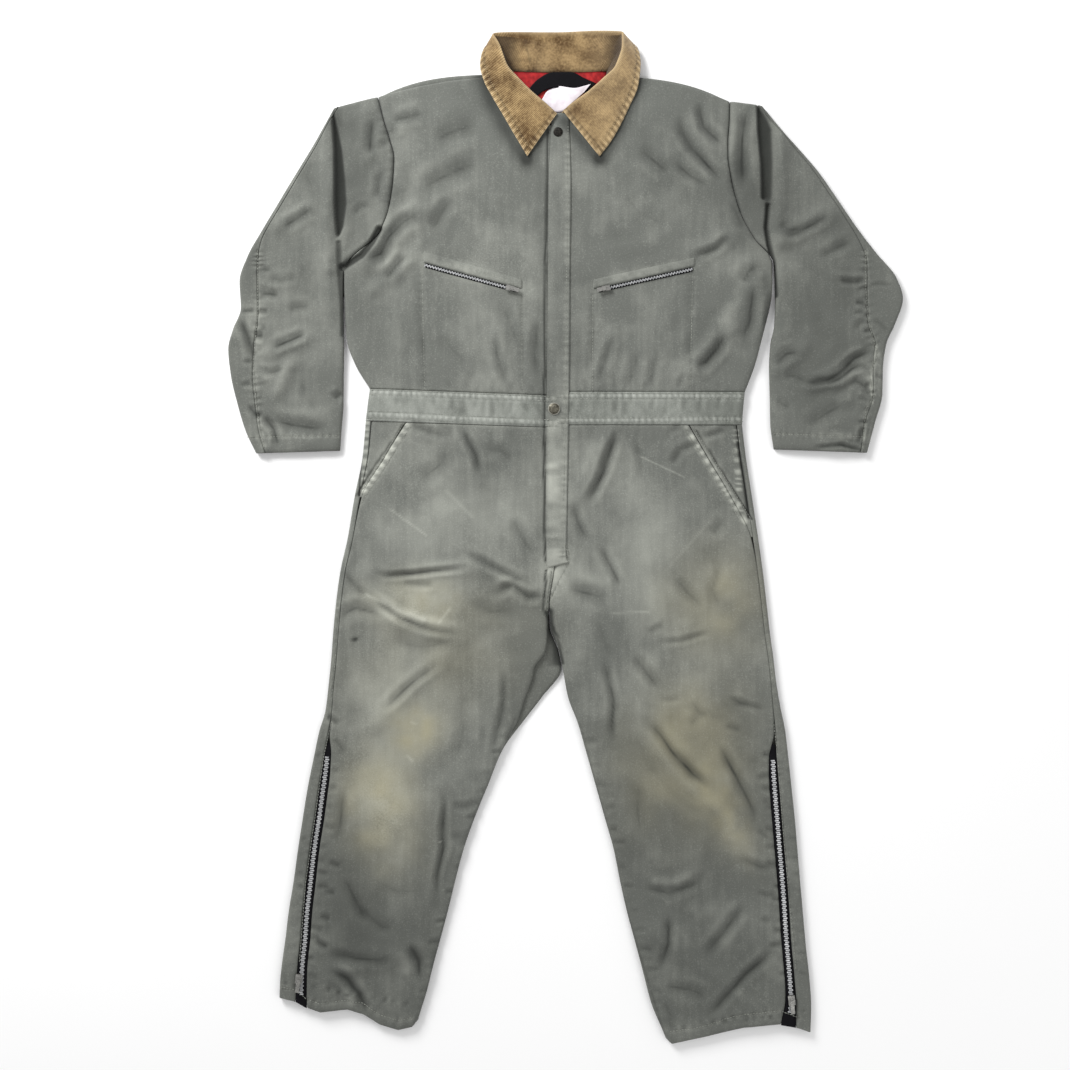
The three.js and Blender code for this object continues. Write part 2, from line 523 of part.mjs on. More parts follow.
// The front half of the same tube, from its inner outline to the slot beside the wrap.
function topPanel(name, table, look, per, across) {
  const outer = [];
  const inner = [];
  for (let r = 0; r <= per * (table.length - 1); r += 1) {
    const place = r / per;
    const wrap = Math.max(rollRadius + 2, sampled(table, "wrap", place));
    const slot = Math.max(0, sampled(table, "slot", place));
    const inset = Math.max(0, sampled(table, "inset", place));
    const outerRow = [];
    const innerRow = [];
    for (const t of spread(across, 250, true, false)) {
      const reach = (length) => mix(inset, length - wrap - slot - seam, t);
      const at = sectionPoint(table, place, reach);
      const low = underHeight(at.x, at.y);
      const high = topHeight(at.x, at.y);
      outerRow.push([at.x, at.y, t === 0 ? mix(low, high, 0.7) : high]);
      innerRow.push([at.x, at.y, low]);
    }
    outer.push(outerRow);
    inner.push(innerRow);
  }
  return closedSheet(name, outer, inner, look);
}

// A strip that fills the slot of a tube between two rows of its table.
function slotStrip(name, table, look, range, heights) {
  const outer = [];
  const inner = [];
  for (let r = 0; r <= Math.round(2 * (range.to - range.from)); r += 1) {
    const place = range.from + r / 2;
    const wrap = Math.max(rollRadius + 2, sampled(table, "wrap", place));
    const slot = Math.max(0, sampled(table, "slot", place));
    const outerRow = [];
    const innerRow = [];
    for (let c = 0; c <= range.across; c += 1) {
      const share = range.margin + (1 - 2 * range.margin) * (c / range.across);
      const start = (length) => length - wrap - slot;
      const reach = (length) => mix(start(length), length - wrap - seam, share);
      const at = sectionPoint(table, place, reach);
      outerRow.push([at.x, at.y, heights.top(at.x, at.y)]);
      innerRow.push([at.x, at.y, heights.under(at.x, at.y)]);
    }
    outer.push(outerRow);
    inner.push(innerRow);
  }
  return closedSheet(name, outer, inner, look);
}

// Back of the suit, lying flat on the surface.
panel("back_bodice", backBody, shell(), { ...backOptions, per: 2, across: 8, bowPower: 4 });
panel("back_waistband", backBand, band(), { ...backOptions, per: 1, across: 10 });
wrappedPanel("back_leg_right", rightLeg, shell(), 2, 3);
wrappedPanel("back_leg_left", leftLeg, shell(), 2, 3);
wrappedPanel("under_sleeve_right", rightSleeve, shell(), 2, 3);
wrappedPanel("under_sleeve_left", leftSleeve, shell(), 2, 3);

// Front of the suit, lying on the back.
const bodyGrid = { ...frontOptions, per: 2, across: 9 };
panel("front_bodice_right", rightFront, shell(), { ...bodyGrid, rollLeft: true });
panel("front_bodice_left", leftFront, shell(), { ...bodyGrid, rollRight: true });
const bandGrid = {
  top: (x, y) => topHeight(x, y) + bandRise,
  under: underHeight,
  per: 1,
  across: 10,
};
panel("front_waistband_right", rightBand, band(), { ...bandGrid, rollLeft: true });
panel("front_waistband_left", leftBand, band(), { ...bandGrid, rollRight: true });
topPanel("front_leg_right", rightLeg, shell(), 2, 8);
topPanel("front_leg_left", leftLeg, shell(), 2, 8);
topPanel("upper_sleeve_right", rightSleeve, shell(), 2, 7);
topPanel("upper_sleeve_left", leftSleeve, shell(), 2, 7);

// Cloth behind the slanted hip pockets, a little lower than the front.
const facingHeights = { top: (x, y) => topHeight(x, y) - 1.5, under: underHeight };
const facingRange = { from: 0, to: 2, across: 3, margin: 0.02 };
slotStrip("pocket_facing_right", rightLeg, shell(), facingRange, facingHeights);
slotStrip("pocket_facing_left", leftLeg, shell(), { ...facingRange, to: 3 }, facingHeights);

// Covered fastening and the welts of the chest pockets, laid on the front.
const placketLift = bandRise + seam;
const placketGrid = { ...laidOptions(placketLift, trimWall), per: 4, across: 3 };
panel("fly_placket", placket, shell(), placketGrid);
const weltGrid = { ...laidOptions(trimLift, trimWall), per: 4, across: 2 };
panel("chest_welt_right", rightWelt, shell(), weltGrid);
panel("chest_welt_left", leftWelt, shell(), weltGrid);
panel("chest_zip_right", rightSlit, metal(), weltGrid);
panel("chest_zip_left", leftSlit, metal(), weltGrid);

// Zips up the outside of the lower legs: a black tape in the slot and a chain along it.
const tapeDrop = 1.6;
const tapeHeights = { top: (x, y) => topHeight(x, y) - tapeDrop, under: underHeight };
const chainHeights = {
  top: (x, y) => topHeight(x, y) - tapeDrop + seam + trimWall,
  under: (x, y) => topHeight(x, y) - tapeDrop + seam,
};
const tapeRange = { from: 10.5, to: 20, across: 2, margin: 0.03 };
const chainRange = { from: 11, to: 19.5, across: 1, margin: 0.3 };
slotStrip("leg_zip_tape_right", rightLeg, tape(), tapeRange, tapeHeights);
slotStrip("leg_zip_tape_left", leftLeg, tape(), tapeRange, tapeHeights);
slotStrip("leg_zip_chain_right", rightLeg, metal(), chainRange, chainHeights);
slotStrip("leg_zip_chain_left", leftLeg, metal(), chainRange, chainHeights);

// Inside of the neck: lining on the back, hanger loop and a blank label over it.
const liningWall = 1;
const liningOptions = { top: () => wall + seam + liningWall, under: () => wall + seam };
const liningLook = material("lining_quilt", liningColour, 0.8, 0);
panel("neck_lining", lining, liningLook, { ...liningOptions, per: 2, across: 6 });
const loopBase = wall + seam + liningWall + seam;
const loopRise = (x) => 1.4 * Math.max(0, 1 - ((x + 8) / 44) ** 2);
const loopLook = material("hanger_tape", tapeColour, 0.9, 0);
panel("hanger_loop", loopBand, loopLook, {
  top: (x) => loopBase + loopRise(x) + 1.2,
  under: (x) => loopBase + loopRise(x),
  per: 3,
  across: 2,
});
const labelLift = (x) => loopBase + Math.min(2.9, Math.max(0, (x + 22) / 10));
const labelLook = material("label_cloth", 0xeceae6, 0.85, 0);
panel("neck_label", labelRows, labelLook, {
  top: (x) => labelLift(x) + 0.6,
  under: (x) => labelLift(x),
  per: 2,
  across: 3,
});

// The collar: one sheet from the neck seam up to the fold and down to its outer edge.
function collarCentreline(place) {
  const at = (key) => sampled(collarSections, key, place);
  const neck = new THREE.Vector3(at("nx"), at("ny"), at("nz"));
  const fold = new THREE.Vector3(at("fx"), at("fy"), at("fz"));
  const edge = new THREE.Vector3(at("ox"), at("oy"), at("oz"));
  const standEnd = fold.clone().lerp(neck, Math.min(0.4, 3 / fold.distanceTo(neck)));
  const fallStart = fold.clone().lerp(edge, Math.min(0.2, 4 / fold.distanceTo(edge)));
  standEnd.z -= 2.2;
  fallStart.z -= 0.2;
  const line = [neck, neck.clone().lerp(standEnd, 0.5), standEnd, fold, fallStart];
  for (const share of [0.35, 0.7, 1]) line.push(fallStart.clone().lerp(edge, share));
  return line;
}

const collarSteps = 40;
const collarLines = [];
for (let r = 0; r <= collarSteps; r += 1) {
  collarLines.push(collarCentreline((r / collarSteps) * (collarSections.length - 1)));
}

function thickened(lines, thickness) {
  const outer = [];
  const inner = [];
  const last = lines.length - 1;
  for (let r = 0; r <= last; r += 1) {
    const outerRow = [];
    const innerRow = [];
    const end = lines[r].length - 1;
    for (let c = 0; c <= end; c += 1) {
      const along = lines[Math.min(last, r + 1)][c].clone().sub(lines[Math.max(0, r - 1)][c]);
      const across = lines[r][Math.min(end, c + 1)].clone().sub(lines[r][Math.max(0, c - 1)]);
      const normal = along.cross(across).normalize().multiplyScalar(thickness / 2);
      outerRow.push(lines[r][c].clone().add(normal).toArray());
      innerRow.push(lines[r][c].clone().sub(normal).toArray());
    }
    outer.push(outerRow);
    inner.push(innerRow);
  }
  return { outer, inner };
}

const collarGrids = thickened(collarLines, collarWall);
const collarLook = material("collar_corduroy", collarColour, 0.95, 0);
closedSheet("collar", collarGrids.outer, collarGrids.inner, collarLook);

// Press studs: a low dome turned round its axis.
function stud(name, spot, base, look) {
  const profile = [
    new THREE.Vector2(0, 0),
    new THREE.Vector2(spot.radius, 0),
    new THREE.Vector2(spot.radius, spot.height * 0.4),
    new THREE.Vector2(spot.radius * 0.75, spot.height * 0.85),
    new THREE.Vector2(spot.radius * 0.4, spot.height),
    new THREE.Vector2(0, spot.height),
  ];
  const geometry = new THREE.LatheGeometry(profile, 24);
  geometry.rotateX(Math.PI / 2);
  geometry.translate(spot.x - centreX, spot.y - centreY, base);
  const mesh = new THREE.Mesh(geometry, look);
  mesh.name = name;
  group.add(mesh);
}

const placketTop = (x, y) => topHeight(x, y) + placketLift + trimWall;
const snapLook = material("snap_metal", 0x6b6a62, 0.4, 0.85);
const snapBase = placketTop(snap.x, snap.y) + seam;
const rim = { x: snap.x, y: snap.y, radius: snap.rimRadius, height: snap.rimHeight };
stud("waist_snap_rim", rim, snapBase, material("snap_rim_metal", 0x8f8e86, 0.4, 0.85));
stud("waist_snap_cap", snap, snapBase + snap.rimHeight + seam, snapLook);
const neckBase = placketTop(neckSnap.x, neckSnap.y) + seam;
stud("neck_snap_cap", neckSnap, neckBase, material("dark_metal", 0x3a3936, 0.5, 0.8));

// Sliders stand on their chains, and each pull tab turns about a pin over its slider.
function block(name, spot, size, base, offset, look) {
  const geometry = new THREE.BoxGeometry(size.length, size.width, size.height);
  geometry.translate(offset, 0, size.height / 2);
  geometry.rotateZ(spot.turn);
  geometry.translate(spot.x - centreX, spot.y - centreY, base);
  const mesh = new THREE.Mesh(geometry, look);
  mesh.name = name;
  group.add(mesh);
}

function sliderSet(kind, side, spot, base) {
  const length = kind === "chest" ? sliderSize.chestLength : sliderSize.legLength;
  const width = kind === "chest" ? sliderSize.chestWidth : sliderSize.legWidth;
  const body = { length, width, height: sliderSize.height };
  block(`${kind}_slider_${side}`, spot, body, base, 0, metal());
  const reach = kind === "chest" ? tabSize.chestLength : tabSize.legLength;
  const plate = { length: reach, width: tabSize.width, height: tabSize.thickness };
  const height = base + sliderSize.height + tabSize.pivotRise - tabSize.thickness / 2;
  block(`${kind}_pull_${side}`, spot, plate, height, reach / 2, metal());
}

function baseOver(spot, lift) {
  const dx = Math.cos(spot.turn) * 7;
  const dy = Math.sin(spot.turn) * 7;
  let highest = 0;
  for (const share of [-1, -0.5, 0, 0.5, 1]) {
    highest = Math.max(highest, topHeight(spot.x + dx * share, spot.y + dy * share));
  }
  return highest + lift;
}

const chestLift = trimLift + trimWall + seam + 0.2;
const legLift = -tapeDrop + seam + trimWall + seam + 0.2;
sliderSet("chest", "right", sliders.chestRight, baseOver(sliders.chestRight, chestLift));
sliderSet("chest", "left", sliders.chestLeft, baseOver(sliders.chestLeft, chestLift));
sliderSet("leg", "right", sliders.legRight, baseOver(sliders.legRight, legLift));
sliderSet("leg", "left", sliders.legLeft, baseOver(sliders.legLeft, legLift));

export default group;
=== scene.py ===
import math

import bpy
import numpy as np
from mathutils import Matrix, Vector


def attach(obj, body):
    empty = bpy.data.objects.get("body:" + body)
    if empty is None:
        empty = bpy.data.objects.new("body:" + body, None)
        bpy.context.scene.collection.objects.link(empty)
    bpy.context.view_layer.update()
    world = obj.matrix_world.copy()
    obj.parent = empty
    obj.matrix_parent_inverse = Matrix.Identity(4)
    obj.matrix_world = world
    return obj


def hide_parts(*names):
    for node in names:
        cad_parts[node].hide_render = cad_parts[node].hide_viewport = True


mm = 0.001
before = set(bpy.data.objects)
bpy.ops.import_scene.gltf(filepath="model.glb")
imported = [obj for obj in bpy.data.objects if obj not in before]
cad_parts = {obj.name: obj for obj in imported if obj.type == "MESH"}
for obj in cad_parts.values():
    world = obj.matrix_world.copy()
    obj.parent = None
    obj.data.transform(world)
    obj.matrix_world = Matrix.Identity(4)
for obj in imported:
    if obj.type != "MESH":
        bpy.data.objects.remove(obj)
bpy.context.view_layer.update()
rng = np.random.default_rng(7)

# The suit lies at the origin of the frame; its tables are in millimetres round the chest line.
shift = dict(x=0.5, y=0.962)
cloth = dict(wall=5.0, seam=0.3, trimLift=0.7, trimWall=1.6, collarWall=2.4, bandRise=1.0)
edgeHeight = 2 * cloth["wall"] + cloth["seam"]
rollRadius = edgeHeight / 2

# Camera straight above, at the height that gives 1.5 mm for a pixel of the picture
view = dict(lens=50.0, sensor=36.0, pixel=1.5, pictureWidth=1070, acrossX=-46.0, acrossY=4.0, clothTop=12.0)
cameraData = bpy.data.cameras.new("camera")
cameraData.lens = view["lens"]
cameraData.sensor_width = view["sensor"]
camera = bpy.data.objects.new("camera", cameraData)
bpy.context.scene.collection.objects.link(camera)
halfAcross = view["pixel"] * view["pictureWidth"] / 2
cameraHeight = halfAcross / (view["sensor"] / 2 / view["lens"]) + view["clothTop"]
camera.location = (view["acrossX"] * mm, view["acrossY"] * mm, cameraHeight * mm)
bpy.context.scene.camera = camera
bpy.context.scene.view_settings.view_transform = "Standard"


# One area lamp, aimed at the middle of the suit
def addLamp(name, place, size, watts):
    data = bpy.data.lights.new(name, "AREA")
    data.size = size
    data.energy = watts
    lamp = bpy.data.objects.new(name, data)
    lamp.location = place
    lamp.rotation_euler = (-Vector(place)).to_track_quat("-Z", "Y").to_euler()
    bpy.context.scene.collection.objects.link(lamp)


lighting = dict(
    key=dict(place=(-1.5, 1.9, 1.5), size=1.1, watts=84.0),
    fill=dict(place=(1.7, -0.9, 2.2), size=2.0, watts=18.0),
    sky=0.56,
)
addLamp("keyLamp", **lighting["key"])
addLamp("fillLamp", **lighting["fill"])
world = bpy.data.worlds.new("softRoom")
world.use_nodes = True
world.node_tree.nodes["Background"].inputs["Color"].default_value = (1, 1, 1, 1)
world.node_tree.nodes["Background"].inputs["Strength"].default_value = lighting["sky"]
bpy.context.scene.world = world
print("camera and lamps stand")

# A long table with named columns, as a dictionary for each row
def rowsOf(columns, rows):
    return [dict(zip(columns.split(), row)) for row in rows]


# Broad puff of the body, the legs and the sleeves: middle line, half width and height
tubes = rowsOf("x1 y1 x2 y2 half height", [
    (-10, 560, -20, -40, 300, 4),
    (-150, 60, -318, -700, 135, 4),
    (130, 60, 255, -730, 135, 4),
    (-320, 600, -405, 130, 90, 3.5),
    (290, 600, 392, 130, 90, 3.5),
])

# Broad folds: a line, its height and half width
folds = rowsOf("x1 y1 x2 y2 height half", [
    (-220, 492, -303, 417, 6, 15),
    (-238, 412, -284, 372, 4, 13),
    (-262, 622, -222, 636, 3, 12),
    (-298, 636, -292, 570, 3, 11),
    (-108, 305, -94, 222, 3, 12),
    (248, 448, 192, 425, 4, 13),
    (242, 310, 190, 255, 6, 14),
    (278, 405, 262, 300, 4, 12),
    (72, 302, 46, 226, 3, 12),
    (-430, 464, -384, 488, 4, 12),
    (-448, 278, -392, 296, 4, 13),
    (-434, 224, -418, 254, 3, 11),
    (-356, 625, -350, 400, 5, 12),
    (326, 442, 394, 486, 5, 14),
    (366, 230, 414, 242, 5, 12),
    (310, 248, 352, 280, 4, 12),
    (318, 640, 322, 440, 5, 12),
    (-152, 150, -130, 86, 3, 12),
    (72, 160, 14, 56, 5, 14),
    (10, 44, 68, -56, 4, 14),
    (-286, -52, -146, -48, 3, 13),
    (-338, -48, -250, -130, 4, 16),
    (-250, -130, -158, -152, 4, 16),
    (-96, -70, -34, -86, 3, 12),
    (-186, -186, -290, -282, 4, 16),
    (-92, -196, -112, -320, 3, 13),
    (-190, -372, -194, -536, 3, 14),
    (40, -120, 150, -260, 4, 16),
    (220, -60, 130, -210, 3, 15),
    (90, -360, 190, -420, 4, 16),
    (260, -330, 170, -540, 3, 16),
    (130, -600, 240, -660, 4, 15),
    (-380, -440, -290, -520, 3, 15),
    (-230, -620, -360, -660, 4, 15),
])

# Legs and sleeves: inner and outer outline of each row, how far the top is held in from the inner one,
# how far the back wraps over the outer one, and the slot between the two
rightLeg = rowsOf("ix iy ox oy inset wrap slot", [
    (-12.2, 164, -301, 174, 0, 8, 53),
    (-12.2, 120, -306, 120, 0, 8, 26),
    (-12.2, 60, -318, 60, 0, 8, 3),
    (-12.2, 0, -328, 0, 0, 8, 0),
    (-18, -50, -339, -50, 0, 8, 0),
    (-25.6, -100, -346, -100, 0, 8, 0),
    (-25.6, -135, -350, -142, 2, 8, 0),
    (-19, -170, -353, -182, 12, 8, 0),
    (-13, -200, -357, -222, 36, 8, 0),
    (-36, -241, -362, -262, 26, 10, 0),
    (-66, -280, -371, -292, 9, 14, 2),
    (-95, -320, -379, -330, 2, 15, 11),
    (-116, -370, -389, -380, 0, 17, 15),
    (-138, -424, -397, -430, 0, 18, 15),
    (-154, -470, -404, -476, 0, 18, 15),
    (-166, -515, -410, -520, 0, 19, 15),
    (-177, -560, -417, -563, 0, 21, 15),
    (-189, -605, -422, -604, 0, 23, 15),
    (-201, -650, -427, -640, 0, 24, 15),
    (-211, -692, -430, -668, 0, 25, 16),
    (-222, -733, -431, -692, 0, 25, 18),
])

leftLeg = rowsOf("ix iy ox oy inset wrap slot", [
    (-11.6, 168, 265, 168, 0, 8, 73),
    (-11.6, 120, 271, 118, 0, 8, 50),
    (-11.6, 60, 280, 60, 0, 8, 24),
    (-11.6, 0, 289, 0, 0, 8, 3),
    (-17.4, -50, 296, -50, 0, 8, 0),
    (-24.6, -100, 302, -100, 0, 8, 0),
    (-23.6, -135, 307, -145, 0, 8, 0),
    (-11, -170, 312, -180, 0, 8, 0),
    (-4.5, -200, 316, -215, 0, 8, 0),
    (3, -240, 322, -252, 0, 11, 0),
    (18, -280, 330, -292, 0, 15, 2),
    (31, -325, 335, -335, 0, 18, 12),
    (46, -378, 340, -382, 0, 19, 15),
    (59, -424, 345, -430, 0, 20, 15),
    (72, -470, 349, -478, 0, 20, 15),
    (81, -515, 353, -525, 0, 20, 15),
    (91, -560, 357, -570, 0, 21, 15),
    (103, -605, 361, -615, 0, 22, 15),
    (115, -650, 366, -660, 0, 23, 15),
    (128, -700, 369, -704, 0, 23, 17),
    (150, -761, 368, -742, 0, 22, 24),
])

rightSleeve = rowsOf("ix iy ox oy inset wrap slot", [
    (-282.6, 661, -349.5, 643.5, 0, 8, 0),
    (-273.6, 625, -380, 589, 0, 8, 0),
    (-264.6, 596, -397, 561, 0, 8, 0),
    (-258.6, 570, -413, 535, 0, 8, 0),
    (-260.1, 538, -434, 500, 0, 8, 0),
    (-266.1, 498, -459, 458, 0, 8, 0),
    (-280, 459, -479, 422, 0, 17, 0),
    (-335, 402, -491, 384, 0, 27, 0),
    (-335, 355, -489, 345, 0, 26, 0),
    (-334.6, 312, -501, 312, 0, 36, 0),
    (-334, 280, -508, 282, 0, 38, 0),
    (-334.5, 245, -504, 243, 0, 33, 0),
    (-335, 200, -494, 200, 0, 27, 0),
    (-338, 160, -482, 160, 0, 20, 0),
    (-340, 130, -466, 126, 0, 14, 0),
])

leftSleeve = rowsOf("ix iy ox oy inset wrap slot", [
    (246.6, 654, 296, 647, 0, 8, 0),
    (245.6, 622, 330, 606, 0, 8, 0),
    (243.6, 596, 356, 577, 0, 8, 0),
    (243.6, 572, 379, 550, 0, 8, 0),
    (249.6, 533, 407, 510, 0, 8, 0),
    (262.6, 488, 437, 466, 0, 9, 0),
    (283.6, 448, 466, 428, 0, 18, 0),
    (313, 412, 497, 390, 0, 44, 0),
    (315, 362, 507, 358, 0, 54, 0),
    (314, 320, 495, 320, 0, 41, 0),
    (308, 290, 482, 290, 0, 17, 0),
    (306, 255, 477, 255, 0, 15, 0),
    (307, 215, 476, 215, 0, 14, 0),
    (308, 170, 465, 172, 0, 16, 0),
    (313, 132, 453, 127, 0, 10, 0),
])

# Panels: left and right end of each row, and how far its middle bows up the body
rightFront = rowsOf("lx ly rx ry bow", [
    (-282, 661, -106, 690, 6),
    (-273, 625, -76, 658, 4),
    (-264, 596, -46, 630, 0),
    (-258, 570, -12.2, 606, 0),
    (-259.5, 538, -12.2, 558, 0),
    (-265.5, 498, -12.2, 505, 0),
    (-279, 459, -12.2, 455, 0),
    (-333, 402, -12.2, 400, 0),
    (-333, 355, -12.2, 350, 0),
    (-330, 300, -12.2, 300, 0),
    (-317, 260, -12.2, 255, 0),
    (-295, 223, -12.2, 212, 0),
])

leftFront = rowsOf("lx ly rx ry bow", [
    (76, 692, 246, 654, 8),
    (52, 668, 245, 622, 4),
    (24, 640, 243, 596, 0),
    (-11.6, 606, 243, 572, 0),
    (-11.6, 558, 249, 533, 0),
    (-11.6, 505, 262, 488, 0),
    (-11.6, 455, 283, 448, 0),
    (-11.6, 400, 311, 410, 0),
    (-11.6, 350, 309, 362, 0),
    (-11.6, 300, 295, 300, 0),
    (-11.6, 255, 283, 255, 0),
    (-11.6, 218, 269, 218, 0),
])

backBody = rowsOf("lx ly rx ry bow", [
    (-282, 661, 246, 654, 38),
    (-273, 625, 245, 622, 32),
    (-264, 596, 243, 596, 20),
    (-258, 570, 243, 572, 10),
    (-259.5, 538, 249, 533, 5),
    (-265.5, 498, 262, 488, 0),
    (-279, 459, 283, 448, 0),
    (-333, 402, 311, 410, 0),
    (-333, 355, 309, 362, 0),
    (-330, 300, 295, 300, 0),
    (-317, 260, 283, 255, 0),
    (-295, 223, 269, 218, 0),
])

rightBand = rowsOf("lx ly rx ry bow", [
    (-294.8, 222.6, -12.2, 211.6, 0),
    (-298, 198, -12.2, 188, 0),
    (-301, 174.4, -12.2, 164.4, 0),
])

leftBand = rowsOf("lx ly rx ry bow", [
    (-11.6, 217.6, 268.8, 217.6, 0),
    (-11.6, 193, 266.5, 193, 0),
    (-11.6, 168.4, 265, 168.4, 0),
])

backBand = rowsOf("lx ly rx ry bow", [
    (-294.8, 222.6, 268.8, 217.6, 0),
    (-298, 198, 266.5, 193, 0),
    (-301, 175, 265, 169, 0),
])

placket = rowsOf("lx ly rx ry bow", [
    (-22, 634, 4, 637, 0),
    (-27, 520, 7.5, 520, 0),
    (-28, 400, 6, 400, 0),
    (-29, 290, 5.5, 290, 0),
    (-30, 190, 4.5, 190, 0),
    (-31, 70, 2, 70, 0),
    (-31.5, -30, 0.5, -30, 0),
    (-28.5, -46.5, 4.5, -38, 0),
])

rightWelt = rowsOf("lx ly rx ry bow", [
    (-214, 412, -214, 429, 0),
    (-140, 391.5, -140, 407.5, 0),
    (-66, 371.5, -66, 386, 0),
])

leftWelt = rowsOf("lx ly rx ry bow", [
    (40.5, 371.5, 40.5, 386, 0),
    (115, 388.5, 115, 402.5, 0),
    (193, 406, 193, 419, 0),
])

rightSlit = rowsOf("lx ly rx ry bow", [
    (-212, 404.2, -212, 411.2, 0),
    (-140, 384.2, -140, 391.2, 0),
    (-74, 366.2, -74, 373.2, 0),
])

leftSlit = rowsOf("lx ly rx ry bow", [
    (48, 365.8, 48, 372.8, 0),
    (115, 381.2, 115, 388.2, 0),
    (191, 398.2, 191, 405.2, 0),
])

lining = rowsOf("lx ly rx ry bow", [
    (-92, 712, 64, 712, 0),
    (-76, 680, 57, 680, 0),
    (-50, 654, 17, 654, 0),
    (-31, 637, 0, 637, 0),
    (-20, 626, -11, 626, 0),
])

loopBand = rowsOf("lx ly rx ry bow", [
    (-50, 655, -60, 668, 0),
    (-35, 669, -42, 688, 0),
    (-16, 675, -20, 698, 0),
    (6, 675, 7, 698.5, 0),
    (20, 669, 27, 690, 0),
    (30, 667, 45, 682, 0),
])

labelRows = rowsOf("lx ly rx ry bow", [
    (-32, 648, -36, 658, 0),
    (-16, 638, -27, 671, 0),
    (-5, 639, -9, 677, 0),
    (12, 654, 12, 674, 0),
    (27, 668, 37, 680, 0),
])

# Collar: neck seam, fold and outer edge of each section, with the height of each
collarSections = rowsOf("nx ny nz fx fy fz ox oy oz", [
    (-21, 624, 9, -13.5, 633, 21, -58, 570, 16.2),
    (-37, 638, 9, -30, 648, 21, -76, 600, 16.2),
    (-57, 654, 9, -51, 666, 21, -94, 631, 16.2),
    (-78, 673, 9, -72, 687, 21, -111, 660, 16.2),
    (-92, 692, 8.5, -88, 706, 20, -123, 683, 16),
    (-88, 700, 7, -100, 738, 18, -129, 708, 13),
    (-76, 700, 6.9, -109, 754.5, 14, -123, 732, 8),
    (-50, 699, 6.8, -74, 758, 9.5, -98, 728, 1.5),
    (-15, 698.5, 6.7, -15, 758, 8.5, -15, 708, 1.5),
    (25, 699, 6.8, 44, 760, 9.5, 62, 726, 1.5),
    (50, 700, 6.9, 85, 757, 14, 106, 735, 8),
    (62, 700, 7, 85, 738, 18, 112, 710, 13),
    (60, 689, 8.5, 75, 706, 20, 108, 676, 16),
    (45, 673, 9, 56, 686, 21, 95, 645, 16.2),
    (24, 654, 9, 33, 666, 21, 81, 616, 16.2),
    (3, 635, 9, 11, 650, 21, 67, 592, 16.2),
    (-10, 624, 9, -5, 637, 21, 50, 570, 16.2),
])

